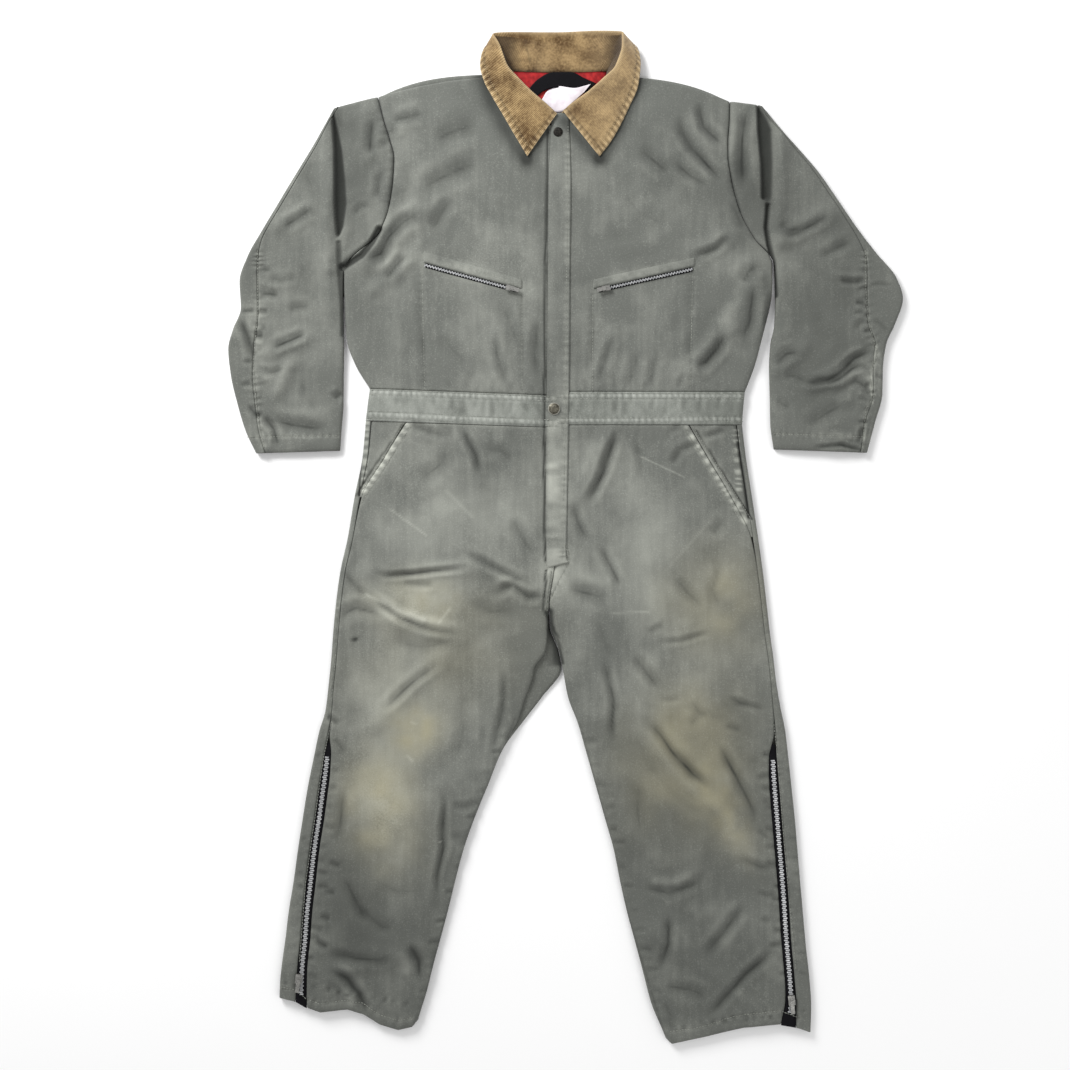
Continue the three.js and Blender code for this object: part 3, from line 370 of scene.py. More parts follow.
# Smaller creases seen on the cloth: points along the line, height and half width.
# A negative height is a trough.
creases = rowsOf("points height half", [
    ([(-291, 628), (-294, 598), (-296, 568)], -2.6, 6.9),
    ([(-278, 552), (-279, 530), (-280, 507)], -1.6, 5.8),
    ([(-285, 578), (-278, 588), (-267, 592)], -0.9, 5.0),
    ([(-260, 624), (-246, 626), (-213, 636)], -2.6, 8.0),
    ([(-201, 592), (-178, 605), (-129, 621)], -2.2, 14.9),
    ([(-243, 596), (-249, 614), (-255, 622)], 1.6, 9.2),
    ([(-222, 518), (-188, 540), (-160, 554), (-126, 562)], -2.6, 13.8),
    ([(-306, 412), (-278, 424), (-267, 448), (-242, 474), (-214, 488)], -4.4, 9.2),
    ([(-201, 460), (-189, 482), (-171, 510)], -2, 9.2),
    ([(-224, 470), (-218, 446), (-220, 428)], 1, 5.8),
    ([(-272, 384), (-254, 406), (-237, 423)], -2.6, 6.9),
    ([(-234, 566), (-242, 528), (-252, 498)], -1, 10.3),
    ([(-321, 482), (-306, 496), (-291, 498)], -0.8, 5.0),
    ([(-339, 428), (-333, 452), (-321, 472)], 0.8, 5.8),
    ([(-108, 303), (-100, 262), (-93, 220)], -1.8, 6.9),
    ([(-42, 332), (-44, 288), (-48, 236)], -1.8, 6.9),
    ([(-99, 356), (-81, 310), (-69, 278)], -1.4, 9.2),
    ([(-189, 310), (-171, 278), (-144, 254)], -1, 11.5),
    ([(-222, 404), (-218, 326), (-213, 228)], -0.8, 5.0),
    ([(-66, 368), (-64, 296), (-63, 228)], -0.8, 5.0),
    ([(-177, 412), (-129, 400), (-92, 392)], 0.8, 6.9),
    ([(-249, 356), (-255, 310), (-246, 266)], 1, 13.8),
    ([(-159, 498), (-129, 464), (-92, 446)], 0.9, 16.1),
    ([(-429, 462), (-404, 476), (-380, 494)], -2.2, 6.9),
    ([(-459, 366), (-444, 366), (-430, 363)], -1.8, 5.8),
    ([(-460, 342), (-446, 339)], -1.2, 5.0),
    ([(-468, 302), (-453, 302)], -2.6, 5.0),
    ([(-443, 285), (-412, 294), (-388, 304)], -2.6, 5.8),
    ([(-459, 248), (-441, 250), (-423, 254)], -1.4, 5.0),
    ([(-456, 182), (-436, 174), (-412, 168), (-380, 165), (-352, 168)], -2.6, 9.2),
    ([(-452, 182), (-436, 159), (-428, 132)], -2.8, 5.0),
    ([(-402, 274), (-419, 252), (-430, 224), (-440, 201)], 1.6, 9.2),
    ([(-489, 328), (-478, 302), (-468, 267)], -2.8, 5.8),
    ([(-488, 339), (-465, 339)], -2, 3.8),
    ([(-485, 264), (-470, 266)], -1.4, 3.8),
    ([(-488, 228), (-468, 231)], -1.6, 3.8),
    ([(-478, 196), (-464, 183), (-453, 184)], -2.2, 4.4),
    ([(-349, 206), (-336, 216)], -2.2, 5.8),
    ([(-369, 430), (-366, 370), (-368, 310)], 0.9, 10.3),
    ([(-399, 416), (-405, 356), (-399, 316)], -0.8, 10.3),
    ([(-450, 390), (-426, 386), (-405, 392)], -1, 5.8),
    ([(-420, 338), (-399, 346), (-381, 344)], -1, 6.9),
    ([(-399, 236), (-390, 206), (-372, 188)], -0.9, 8.0),
    ([(-380, 520), (-390, 542), (-381, 566)], -0.9, 9.2),
    ([(270, 650), (267, 610), (262, 566), (264, 520)], -2.8, 9.2),
    ([(201, 651), (206, 616), (234, 585)], -3, 6.9),
    ([(171, 633), (176, 608), (188, 584), (210, 561), (238, 534)], -2.8, 6.9),
    ([(111, 584), (135, 564), (159, 542)], -2.2, 10.3),
    ([(165, 561), (188, 540), (214, 525)], -1.8, 6.9),
    ([(188, 423), (226, 432), (249, 452)], -2.4, 5.8),
    ([(286, 410), (273, 398), (264, 378)], -2.4, 9.2),
    ([(279, 378), (273, 326), (261, 288)], -3, 10.3),
    ([(242, 310), (226, 282), (210, 262), (186, 250)], -3.6, 8.0),
    ([(306, 370), (303, 340), (297, 310)], -2, 5.8),
    ([(141, 626), (153, 596), (177, 566)], 1, 13.8),
    ([(81, 520), (111, 483), (153, 466)], -1, 13.8),
    ([(216, 498), (225, 460), (219, 436)], 0.9, 10.3),
    ([(246, 506), (255, 483), (267, 458)], -1.2, 6.9),
    ([(72, 304), (60, 266), (45, 224)], -1.8, 6.9),
    ([(111, 278), (102, 250), (93, 224)], -1.4, 6.9),
    ([(134, 268), (129, 248), (126, 220)], -1.2, 5.8),
    ([(40, 368), (39, 296), (36, 224)], -0.8, 5.0),
    ([(186, 404), (186, 340), (183, 226)], -0.8, 5.0),
    ([(201, 356), (186, 310), (159, 280)], 1.2, 11.5),
    ([(51, 430), (111, 436), (147, 448)], 0.8, 9.2),
    ([(254, 356), (243, 332), (225, 316)], 1.6, 8.0),
    ([(315, 470), (333, 460), (352, 464)], -1.6, 9.2),
    ([(326, 444), (338, 452), (352, 460), (372, 472), (394, 488)], -2.4, 6.9),
    ([(381, 418), (408, 436), (432, 448)], -1.6, 6.9),
    ([(408, 384), (428, 384), (450, 386)], -2.4, 5.0),
    ([(452, 378), (471, 380), (492, 378)], -1, 3.8),
    ([(435, 352), (450, 352)], -1.8, 4.4),
    ([(434, 336), (450, 338)], -1.2, 4.4),
    ([(351, 231), (370, 231), (393, 237), (412, 249), (435, 267), (466, 282)], -4.2, 5.8),
    ([(390, 230), (412, 240), (430, 252), (453, 262)], -3.4, 5.0),
    ([(404, 198), (418, 206), (432, 213)], 2, 8.0),
    ([(416, 226), (435, 234), (450, 226), (454, 208)], -1.8, 5.8),
    ([(315, 256), (333, 273), (352, 280)], -2.2, 6.9),
    ([(327, 243), (344, 242), (360, 230)], -1.4, 8.0),
    ([(314, 206), (336, 194)], -1.4, 8.0),
    ([(360, 164), (386, 182), (420, 200)], -1.6, 9.2),
    ([(438, 138), (442, 156), (446, 170)], -2.4, 3.8),
    ([(393, 154), (418, 150), (436, 152)], 1.6, 5.0),
    ([(369, 134), (393, 136), (412, 138), (450, 129)], -2.4, 3.1),
    ([(462, 324), (472, 318), (482, 306)], -1.4, 5.0),
    ([(464, 244), (480, 240)], -2, 3.8),
    ([(453, 326), (441, 318), (438, 308)], -1.2, 5.0),
    ([(336, 356), (330, 310), (326, 280)], 0.9, 10.3),
    ([(408, 412), (396, 356), (402, 310)], 0.9, 12.6),
    ([(-156, 165), (-147, 144), (-135, 122), (-128, 87)], -3.2, 5.6),
    ([(-242, 174), (-207, 160), (-172, 148)], -1.5, 5.8),
    ([(-198, 174), (-176, 160), (-168, 142)], -1.2, 5.8),
    ([(-219, 86), (-188, 111), (-182, 130)], -1.6, 11.5),
    ([(-123, 134), (-96, 129), (-78, 110)], -1.6, 8.0),
    ([(-80, 33), (-58, -14), (-46, -30)], -1.8, 8.0),
    ([(-288, -51), (-270, -58), (-222, -55), (-172, -50), (-141, -46)], -3, 4.5),
    ([(-156, -21), (-123, -36), (-86, -54), (-46, -74)], -2.2, 5.6),
    ([(-123, -46), (-86, -66), (-54, -82)], 1.2, 5.8),
    ([(-108, -84), (-78, -72), (-58, -90), (-34, -86)], -3, 6.9),
    ([(-248, -69), (-213, -74), (-195, -75)], -1.4, 5.0),
    ([(-296, -87), (-274, -105), (-248, -123), (-207, -135), (-156, -148)], -2.6, 5.6),
    ([(-300, -76), (-274, -94), (-252, -111), (-213, -123), (-183, -124)], 1.2, 5.0),
    ([(-344, -123), (-315, -108), (-272, -120)], -2.4, 9.2),
    ([(-339, -51), (-318, -74), (-297, -94)], -1.4, 5.8),
    ([(-144, -94), (-114, -112), (-76, -112)], -1.4, 9.2),
    ([(-132, -184), (-99, -154), (-54, -134)], 1, 13.8),
    ([(-267, -154), (-219, -164), (-165, -154)], -1.2, 9.2),
    ([(-99, 100), (-84, 56), (-81, 10)], 0.9, 13.8),
    ([(-279, 26), (-255, -16), (-204, -34)], 0.9, 16.1),
    ([(-321, -4), (-315, -34), (-324, -64)], -1, 8.0),
    ([(-188, -184), (-219, -208), (-244, -230), (-276, -261)], -2.2, 6.3),
    ([(-93, -196), (-94, -244), (-104, -285), (-112, -334)], -2.2, 5.6),
    ([(-189, -374), (-183, -398), (-185, -466), (-194, -507), (-194, -552)], -2.8, 5.0),
    ([(-332, -374), (-338, -429), (-345, -464)], -1.8, 6.9),
    ([(-333, -510), (-316, -543), (-296, -579)], -1.6, 9.2),
    ([(-357, -621), (-316, -634), (-276, -632), (-255, -620)], -2, 8.0),
    ([(-354, -645), (-328, -663), (-312, -682), (-294, -714)], -3.2, 6.3),
    ([(-332, -672), (-321, -694), (-324, -710)], 1.2, 6.9),
    ([(-236, -604), (-220, -638), (-219, -670)], -2.4, 8.0),
    ([(-254, -618), (-243, -638), (-234, -662)], 1.8, 9.2),
    ([(-362, -264), (-340, -282)], -2, 4.4),
    ([(-350, -302), (-332, -322)], -1.6, 5.0),
    ([(-171, -404), (-150, -406), (-129, -398)], -1.4, 5.8),
    ([(-177, -448), (-156, -452), (-138, -446)], -1.2, 5.8),
    ([(-354, -488), (-336, -494)], -1.6, 5.0),
    ([(-366, -530), (-345, -534)], -1.4, 5.0),
    ([(-372, -567), (-354, -572)], -1.4, 5.0),
    ([(-375, -604), (-354, -614)], -2.2, 5.0),
    ([(-159, -244), (-153, -290), (-165, -334)], -1, 10.3),
    ([(-285, -514), (-249, -532), (-213, -526)], -1, 11.5),
    ([(-264, -552), (-249, -590), (-261, -612)], 0.9, 10.3),
    ([(-135, -230), (-129, -274), (-138, -320)], 0.8, 9.2),
    ([(-234, -454), (-243, -484), (-264, -496)], 0.9, 11.5),
    ([(-309, -552), (-273, -586), (-249, -584)], -1.2, 9.2),
    ([(78, 165), (66, 130), (56, 96), (45, 74), (28, 50)], -3.8, 6.3),
    ([(8, 52), (16, 22), (30, -9)], -2.2, 6.9),
    ([(50, -12), (68, -44), (82, -76)], -2.6, 6.9),
    ([(204, 148), (222, 156), (242, 164)], -2.4, 4.4),
    ([(159, 105), (174, 129), (201, 141)], -2.2, 5.6),
    ([(158, 159), (174, 166)], -1.4, 5.0),
    ([(102, 148), (111, 123), (112, 81)], -1.2, 5.8),
    ([(242, 22), (230, 16), (218, 4)], -1.6, 8.0),
    ([(3, -80), (40, -86), (62, -98)], -2.2, 11.5),
    ([(162, -60), (183, -88), (206, -108)], -1.5, 8.0),
    ([(123, -142), (135, -136), (148, -132)], -1.5, 5.0),
    ([(45, 146), (36, 112), (21, 88)], 1.2, 8.0),
    ([(126, 26), (111, -12), (126, -50)], 0.9, 16.1),
    ([(231, -34), (219, -80), (234, -112)], -1, 9.2),
    ([(15, -34), (30, -64), (51, -80)], 1, 9.2),
    ([(58, -174), (63, -207), (72, -260), (72, -315)], -2.4, 5.6),
    ([(99, -174), (120, -198), (141, -232)], -2, 8.0),
    ([(120, -268), (158, -318), (189, -358), (219, -380)], -2.6, 7.5),
    ([(112, -290), (141, -328), (174, -368), (231, -404), (272, -470)], 1.8, 10.3),
    ([(222, -302), (255, -354), (280, -412), (285, -442)], -2.2, 6.9),
    ([(136, -159), (172, -156), (219, -142)], -1.6, 4.4),
    ([(140, -243), (174, -240)], -1, 5.0),
    ([(246, -236), (264, -248), (302, -260)], -1.5, 5.0),
    ([(238, -280), (264, -290)], -1.2, 5.8),
    ([(120, -514), (170, -514), (207, -490)], 1.4, 6.9),
    ([(114, -526), (156, -532), (201, -514)], -1.6, 6.9),
    ([(273, -550), (238, -590), (206, -627)], -2.4, 7.5),
    ([(318, -614), (272, -654), (226, -704), (206, -722)], -2.6, 6.3),
    ([(156, -562), (153, -610), (140, -652)], -2.2, 6.3),
    ([(147, -672), (186, -680), (210, -694)], -1.8, 9.2),
    ([(186, -544), (201, -567), (234, -556)], 1, 9.2),
    ([(258, -484), (291, -496), (315, -494)], -1.4, 5.8),
    ([(288, -532), (303, -538), (318, -534)], -1.2, 5.0),
    ([(291, -574), (309, -578)], -1.4, 5.0),
    ([(294, -394), (309, -404)], -1.2, 5.0),
    ([(288, -442), (306, -452)], -1.2, 5.0),
    ([(111, -364), (105, -410), (117, -454)], -1, 10.3),
    ([(48, -124), (57, -154), (69, -184)], -1, 8.0),
    ([(186, -244), (201, -268), (186, -290)], -1.2, 8.0),
    ([(147, -694), (159, -716), (153, -740)], -1.2, 6.9),
    ([(246, -672), (268, -694), (300, -710)], 1, 6.9),
])

# Deep folded lines down the sleeve caps: both sides of the hollow at each height.
rightHollow = rowsOf("y x1 x2", [
    (642, -351, -349),
    (580, -347, -336),
    (534, -346.5, -331.5),
    (500, -346.5, -329.5),
    (465, -345, -334.5),
    (448, -343, -341),
])
leftHollow = rowsOf("y x1 x2", [
    (650, 286.5, 288.5),
    (610, 287.5, 307.5),
    (558, 292.5, 308.5),
    (507, 294, 306.5),
    (504, 299, 306),
])

# Places where one layer lifts off another: the cloth dips there and gets a black line of painted shade
gaps = rowsOf("points half depth amount", [
    ([(-280, 462), (-291, 441), (-307, 422), (-325, 411), (-335, 405)], 5, 6, 1.0),
    ([(-340, 440), (-339, 400), (-335, 350), (-334, 303)], 4, 2.5, 0.6),
    ([(303, 498), (300, 464), (304, 438), (312, 412), (315, 362)], 3.2, 6, 1.0),
    ([(-27, 612), (-31, 420), (-33, 200), (-33, 60), (-31, -36)], 1.7, 1.5, 0.9),
    ([(-244, 168), (-280, 118), (-316, 62)], 1.6, 1.2, 0.7),
    ([(196, 160), (236, 96), (280, 26)], 1.6, 1.2, 0.7),
    ([(258, 141), (264, 106), (275, 29)], 2.2, 2, 0.9),
    ([(-307, 123), (-311, 62)], 1.6, 2, 0.8),
    ([(-24, -112), (-23, -140), (-15, -172), (-11, -190)], 5.5, 2, 1.0),
    ([(-30, -50), (-31, -80), (-34, -108), (-12, -150), (-4, -190)], 2.0, 2, 0.75),
])

# Painted shadow that the collar casts along its edges, and painted shade beside the sleeve-cap hollows and
# left of the front strip
shades = rowsOf("points half amount", [
    ([(-129, 700), (-113, 655), (-89, 610), (-60, 563)], 14, 0.8),
    ([(-58, 566), (-30, 606)], 8, 0.6),
    ([(-2, 622), (46, 568)], 10, 0.7),
    ([(54, 566), (84, 620), (112, 688)], 11, 0.75),
    ([(-345, 640), (-343, 560), (-342, 480)], 7, 0.35),
    ([(300, 640), (303, 560), (302, 500)], 8, 0.4),
    ([(-39, 600), (-40, 300), (-41, 0)], 6, 0.15),
])

# Puckered strips between twin rows of stitches, with pale lumps
ladders = rowsOf("points half pitch amount", [
    ([(-293, 217.5), (-12, 206.5)], 2.8, 9, 0.26),
    ([(-299, 184), (-12, 170.5)], 2.8, 8.5, 0.26),
    ([(-11, 211), (266, 211)], 2.8, 9, 0.26),
    ([(-11, 174), (266, 176.5)], 2.8, 8.5, 0.26),
    ([(-235, 170), (-271, 114), (-308, 58)], 5.0, 13, 0.62),
    ([(181, 162), (225, 92), (268, 24)], 5.0, 13, 0.62),
    ([(-299, 174), (-304, 70)], 4.5, 11, 0.5),
    ([(255, 166), (262, 36)], 5, 12, 0.55),
    ([(-18, 160), (-20, 60), (-19, -24)], 12, 70, 0.2),
])

# Soft spots: centre, half sizes, turn in degrees and strength. Faded and ochre spots are wear and dirt; the
# dark spots and streaks are mostly painted shade.
fadedSpots = rowsOf("x y across along turn amount", [
    (-160, 193, 170, 34, -2, 0.16),
    (120, 193, 150, 30, 0, 0.08),
    (-15, 60, 24, 130, 0, 0.28),
    (-15, -60, 26, 40, 0, 0.3),
    (-230, -95, 66, 36, 0, 0.4),
    (-190, 60, 90, 90, 0, 0.17),
    (-225, -122, 60, 9, -8, 0.45),
    (-150, -20, 150, 90, 20, 0.22),
    (120, 0, 140, 120, -20, 0.2),
    (-240, -250, 110, 120, 30, 0.3),
    (-276, -400, 48, 84, 10, 0.56),
    (160, -180, 120, 110, -15, 0.15),
    (250, -438, 18, 40, 28, 0.3),
    (-278, 112, 10, 76, -31, 0.3),
    (230, 92, 10, 88, 31, 0.3),
    (-110, 420, 170, 120, 0, 0.12),
    (-140, 395, 84, 12, -15, 0.3),
    (118, 395, 84, 12, 13, 0.3),
    (-460, 300, 30, 120, 0, 0.22),
])
ochreSpots = rowsOf("x y across along turn amount", [
    (-276, -408, 58, 90, 10, 0.62),
    (-228, -292, 44, 38, 0, 0.6),
    (-225, -96, 70, 40, 0, 0.35),
    (-180, -180, 150, 90, 20, 0.18),
    (175, -330, 90, 110, -20, 0.5),
    (232, -405, 38, 80, 28, 0.42),
    (225, -95, 80, 80, 0, 0.35),
    (248, -436, 17, 48, 28, 0.18),
])
# Painted shade: broad darkening of the sleeves, the shoulders, the bodice beside the arms and the legs, most
# of all low down; the small first spot is a dark mark
darkSpots = rowsOf("x y across along turn amount", [
    (-317, -153, 8, 4.5, 0, 0.95),
    (170, -620, 170, 190, 0, 0.34),
    (-320, -600, 160, 200, 0, 0.3),
    (370, 350, 110, 260, 15, 0.28),
    (270, 560, 34, 120, 0, 0.24),
    (-314, 540, 38, 120, 0, 0.26),
    (-420, 380, 90, 200, -15, 0.24),
    (210, -400, 90, 120, 0, 0.14),
    (-350, 620, 50, 30, 0, 0.15),
    (230, -330, 60, 90, -20, 0.22),
    (120, -420, 80, 120, 10, 0.18),
    (-330, -560, 90, 120, 0, 0.16),
    (-180, -640, 60, 90, 0, 0.16),
    (200, 560, 80, 100, 0, 0.12),
    (-262, 500, 14, 90, 0, 0.18),
])
# Painted shade along the left armhole gap and the front strip's free edge, and two dark marks on the left leg
darkStreaks = rowsOf("x y across along turn amount", [
    (300, 360, 9, 60, 0, 0.3),
    (-31, 100, 4, 180, 0, 0.4),
    (-29, 400, 4, 220, 0, 0.3),
    (252, -250, 30, 10, 10, 0.3),
    (215, -265, 24, 8, -10, 0.25),
])
scratches = rowsOf("x1 y1 x2 y2 half amount", [
    (-264, 42, -210, 3, 1.3, 0.4),
    (111, 121, 177, 90, 1.4, 0.34),
    (70, -114, 123, -112, 1.3, 0.3),
    (150, -50, 216, 24, 1.6, 0.2),
    (-300, -86, -225, -123, 2.2, 0.5),
    (-190, -128, -174, -107, 2.0, 0.5),
    (-232, -277, -226, -280, 1.6, 0.55),
    (-238, -328, -230, -336, 1.6, 0.5),
    (-190, -457, -187, -457, 1.3, 0.8),
    (-180, 70, -140, 30, 2.0, 0.25),
    (466, 286, 458, 240, 1.8, 0.5),
    (458, 238, 460, 201, 1.8, 0.6),
])

# Sewn lines: points in order, pucker height and pitch, and how far they are rubbed pale.
seams = [
    dict(points=[(-293, 221), (-12, 210)], pucker=0.5, pitch=11, rub=0.2),
    dict(points=[(-294, 214), (-12, 203)], pucker=0.5, pitch=11, rub=0.2),
    dict(points=[(-298, 189), (-12, 175)], pucker=0.5, pitch=10, rub=0.2),
    dict(points=[(-300, 179), (-12, 166)], pucker=0.5, pitch=10, rub=0.2),
    dict(points=[(-11, 215), (268, 214.5)], pucker=0.5, pitch=11, rub=0.2),
    dict(points=[(-11, 207.5), (266, 207.5)], pucker=0.5, pitch=11, rub=0.2),
    dict(points=[(-11, 178), (266, 180)], pucker=0.5, pitch=10, rub=0.2),
    dict(points=[(-11, 171), (266, 173)], pucker=0.5, pitch=10, rub=0.2),
    dict(points=[(3, 616), (1, 400), (-1, 190), (-4, 40), (-5, -34)], pucker=0.5, pitch=12, rub=0.3),
    dict(points=[(-22, -50), (-26, -90), (-29, -115)], pucker=0.7, pitch=9, rub=0.35),
    dict(points=[(-30, -50), (-34, -90)], pucker=0.6, pitch=9, rub=0.35),
    dict(points=[(0, -12), (4.5, -38), (-8, -60), (-24, -92)], pucker=0.5, pitch=9, rub=0.2),
    dict(points=[(-233, 166), (-270, 108), (-308, 50)], pucker=0.4, pitch=15, rub=0.15),
    dict(points=[(-243, 172), (-279, 114), (-316, 58)], pucker=0.3, pitch=15, rub=0.2),
    dict(points=[(178, 162), (222, 90), (267, 16)], pucker=0.4, pitch=13, rub=0.15),
    dict(points=[(190, 166), (234, 96), (279, 26)], pucker=0.3, pitch=13, rub=0.2),
    dict(points=[(row["ix"], row["iy"]) for row in rightSleeve[:6]], pucker=0.6, pitch=13, rub=0, plain=True),
    dict(points=[(row["ix"], row["iy"]) for row in leftSleeve[:6]], pucker=0.6, pitch=13, rub=0, plain=True),
    dict(points=[(-216, 398), (-214, 300), (-212, 222)], pucker=0.6, pitch=12, rub=0.1),
    dict(points=[(-66, 366), (-66, 300), (-66, 218)], pucker=0.6, pitch=12, rub=0.1),
    dict(points=[(40, 364), (40, 300), (40, 218)], pucker=0.6, pitch=12, rub=0.1),
    dict(points=[(190, 394), (188, 300), (186, 220)], pucker=0.6, pitch=12, rub=0.1),
    dict(points=[(-429, -675), (-408, -679), (-390, -692), (-369, -700), (-328, -694), (-304, -700),
                 (-280, -716), (-252, -725), (-231, -721)], pucker=1.3, pitch=14, rub=0.25),
    dict(points=[(155, -742), (185, -738), (212, -732), (240, -722), (267, -716), (321, -710), (351, -722)],
         pucker=1.3, pitch=14, rub=0.2),
    dict(points=[(-480, 150), (-340, 152)], pucker=0.7, pitch=12, rub=0.25),
    dict(points=[(310, 155), (458, 150)], pucker=0.7, pitch=12, rub=0.25),
    dict(points=[(-463, 432), (-463, 334), (-470, 264), (-463, 186), (-452, 132)],
         pucker=1.2, pitch=13, rub=0.3),
    dict(points=[(450, 432), (450, 379), (454, 324), (468, 274), (456, 241), (462, 211), (450, 193),
                 (444, 132)],
         pucker=1.5, pitch=13, rub=0.35),
    dict(points=[(-76, -272), (-95, -322), (-138, -424), (-177, -560), (-222, -733)],
         pucker=0.7, pitch=16, rub=0, plain=True),
    dict(points=[(21, -280), (59, -424), (91, -560), (150, -755)], pucker=0.7, pitch=16, rub=0, plain=True),
    dict(points=[(-352, -276), (-364, -330), (-378, -430), (-391, -520), (-400, -640)],
         pucker=0.9, pitch=14, rub=0.15),
    dict(points=[(312, -280), (318, -330), (325, -430), (333, -520), (345, -650)],
         pucker=0.9, pitch=14, rub=0.15),
    dict(points=[(-343, -100), (-346, -180), (-352, -240)], pucker=0.6, pitch=16, rub=0.2),
    dict(points=[(296, -100), (305, -180), (314, -240)], pucker=0.6, pitch=16, rub=0.2),
]


# How far a path has run at each of its points
def runAlong(points):
    steps = np.diff(np.array(points, dtype=float)[:, :2], axis=0)
    return np.concatenate([[0], np.cumsum(np.hypot(steps[:, 0], steps[:, 1]))])


# Short gathers that stand off a sewn line, in a seeded order
def gathers(points, lean, length, pitch, height):
    made = []
    run = runAlong(points)
    at = pitch * rng.uniform(0.3, 0.8)
    while at < run[-1]:
        x = float(np.interp(at, run, [point[0] for point in points]))
        y = float(np.interp(at, run, [point[1] for point in points]))
        reach = length * rng.uniform(0.55, 1.3)
        turned = math.radians(lean + rng.uniform(-16, 16))
        end = (x + reach * math.cos(turned), y + reach * math.sin(turned))
        rise = height * rng.uniform(0.5, 1.2)
        made.append(dict(points=[(x, y), end], height=rise, half=rng.uniform(3.4, 5.2)))
        at += pitch * rng.uniform(0.7, 1.4)
    return made


# Where gathers stand: along a line, leaning by an angle in degrees
gatherLines = rowsOf("points lean length pitch height", [
    ([(-285, 211), (-40, 202)], -82, 26, 15, -0.9),
    ([(0, 208), (250, 208)], -92, 26, 15, -0.9),
    ([(-343, -310), (-366, -440), (-382, -560), (-389, -660)], 2, 18, 24, -1.3),
    ([(-366, -310), (-388, -440), (-398, -560), (-404, -660)], 185, 14, 26, -1.0),
    ([(303, -310), (316, -440), (326, -560), (331, -670)], 176, 18, 24, -1.4),
    ([(326, -310), (334, -440), (342, -560), (348, -670)], -4, 14, 26, -1.0),
    ([(-80, -280), (-120, -380), (-170, -550), (-205, -680)], 186, 18, 34, -1.1),
    ([(22, -290), (60, -420), (96, -570), (136, -700)], -6, 20, 30, -1.1),
    ([(-428, -672), (-228, -706)], 84, 12, 16, -1.0),
    ([(156, -742), (360, -716)], 96, 12, 14, -1.1),
    ([(-262, 165), (-40, 158)], -88, 22, 42, -0.8),
    ([(10, 165), (170, 165)], -92, 22, 38, -0.8),
    ([(-280, 224), (-40, 214)], 92, 26, 34, -0.9),
    ([(10, 218), (250, 218)], 88, 26, 34, -0.9),
    ([(-463, 420), (-466, 270), (-464, 150)], 4, 16, 26, -1.1),
    ([(452, 420), (460, 280), (454, 160)], 176, 16, 26, -1.2),
])
for gathered in gatherLines:
    creases += gathers(**gathered)
print("tables are ready")


def lerp(a, b, t):
    return a + (b - a) * t


def smoothStep(t):
    held = np.clip(t, 0, 1)
    return held * held * (3 - 2 * held)


# Slope shared by two steps of a table, level where they turn back
def sharedSlope(before, after):
    return 0.0 if before * after <= 0 else 2 * before * after / (before + after)


# A smooth value between table rows that never swings past them
def sampled(rows, key, place):
    at = min(len(rows) - 1, max(0.0, place))
    low = min(len(rows) - 2, int(at))
    t = at - low
    start = rows[low][key]
    end = rows[low + 1][key]
    step = end - start
    before = start - rows[low - 1][key] if low > 0 else step
    after = rows[low + 2][key] - end if low + 2 < len(rows) else step
    rise = step * t * t * (3 - 2 * t)
    leave = sharedSlope(before, step) * t * (1 - t) * (1 - t)
    arrive = sharedSlope(step, after) * t * t * (1 - t)
    return start + rise + leave - arrive


# Distance to a line, how far along it the nearest point is, and the length of the line
def nearLine(x, y, x1, y1, x2, y2):
    dx = x2 - x1
    dy = y2 - y1
    length = math.hypot(dx, dy)
    along = ((x - x1) * dx + (y - y1) * dy) / length**2
    held = np.clip(along, 0, 1)
    away = np.hypot(x - x1 - held * dx, y - y1 - held * dy)
    return away, held, length


mixing = dict(x=127.1, y=311.7, seed=74.7, spread=43758.5453)


# Smooth wandering value from -1 to 1, fixed by its seed
def wander(x, y, size, seed):
    gx = np.asarray(x) / size
    gy = np.asarray(y) / size
    ix = np.floor(gx)
    iy = np.floor(gy)
    fx = gx - ix
    fy = gy - iy
    fx = fx * fx * (3 - 2 * fx)
    fy = fy * fy * (3 - 2 * fy)

    def corner(cx, cy):
        mixed = np.sin(cx * mixing["x"] + cy * mixing["y"] + seed * mixing["seed"]) * mixing["spread"]
        return 2 * (mixed - np.floor(mixed)) - 1

    low = lerp(corner(ix, iy), corner(ix + 1, iy), fx)
    high = lerp(corner(ix, iy + 1), corner(ix + 1, iy + 1), fx)
    return lerp(low, high, fy)


# The same place, moved about a little so that no line runs quite straight
def warped(x, y, amount, size):
    return x + amount * wander(x, y, size, 3), y + amount * wander(x, y, size, 4)


# One on a line, falling away to both sides; a higher power gives a flatter top
def bell(away, half, power=2):
    return np.exp(-((away / half) ** power))


def tubePuff(x, y):
    puff = np.zeros_like(x)
    for tube in tubes:
        away = nearLine(x, y, tube["x1"], tube["y1"], tube["x2"], tube["y2"])[0] / tube["half"]
        puff = np.maximum(puff, tube["height"] * np.maximum(0, 1 - away * away))
    return puff


# Adds a value along a path, worked out only for the points near it
def addAlong(total, x, y, points, reach, value):
    xs = [point[0] for point in points]
    ys = [point[1] for point in points]
    near = (x > min(xs) - reach) & (x < max(xs) + reach) & (y > min(ys) - reach) & (y < max(ys) + reach)
    if near.any():
        away, run = pathRun(x[near], y[near], points)
        total[near] += value(away, run)


creaseShape = dict(swell=1.15, bank=0.4, bankPlace=1.9, bankHalf=0.8, reach=3.6, sway=3, swaySize=40)


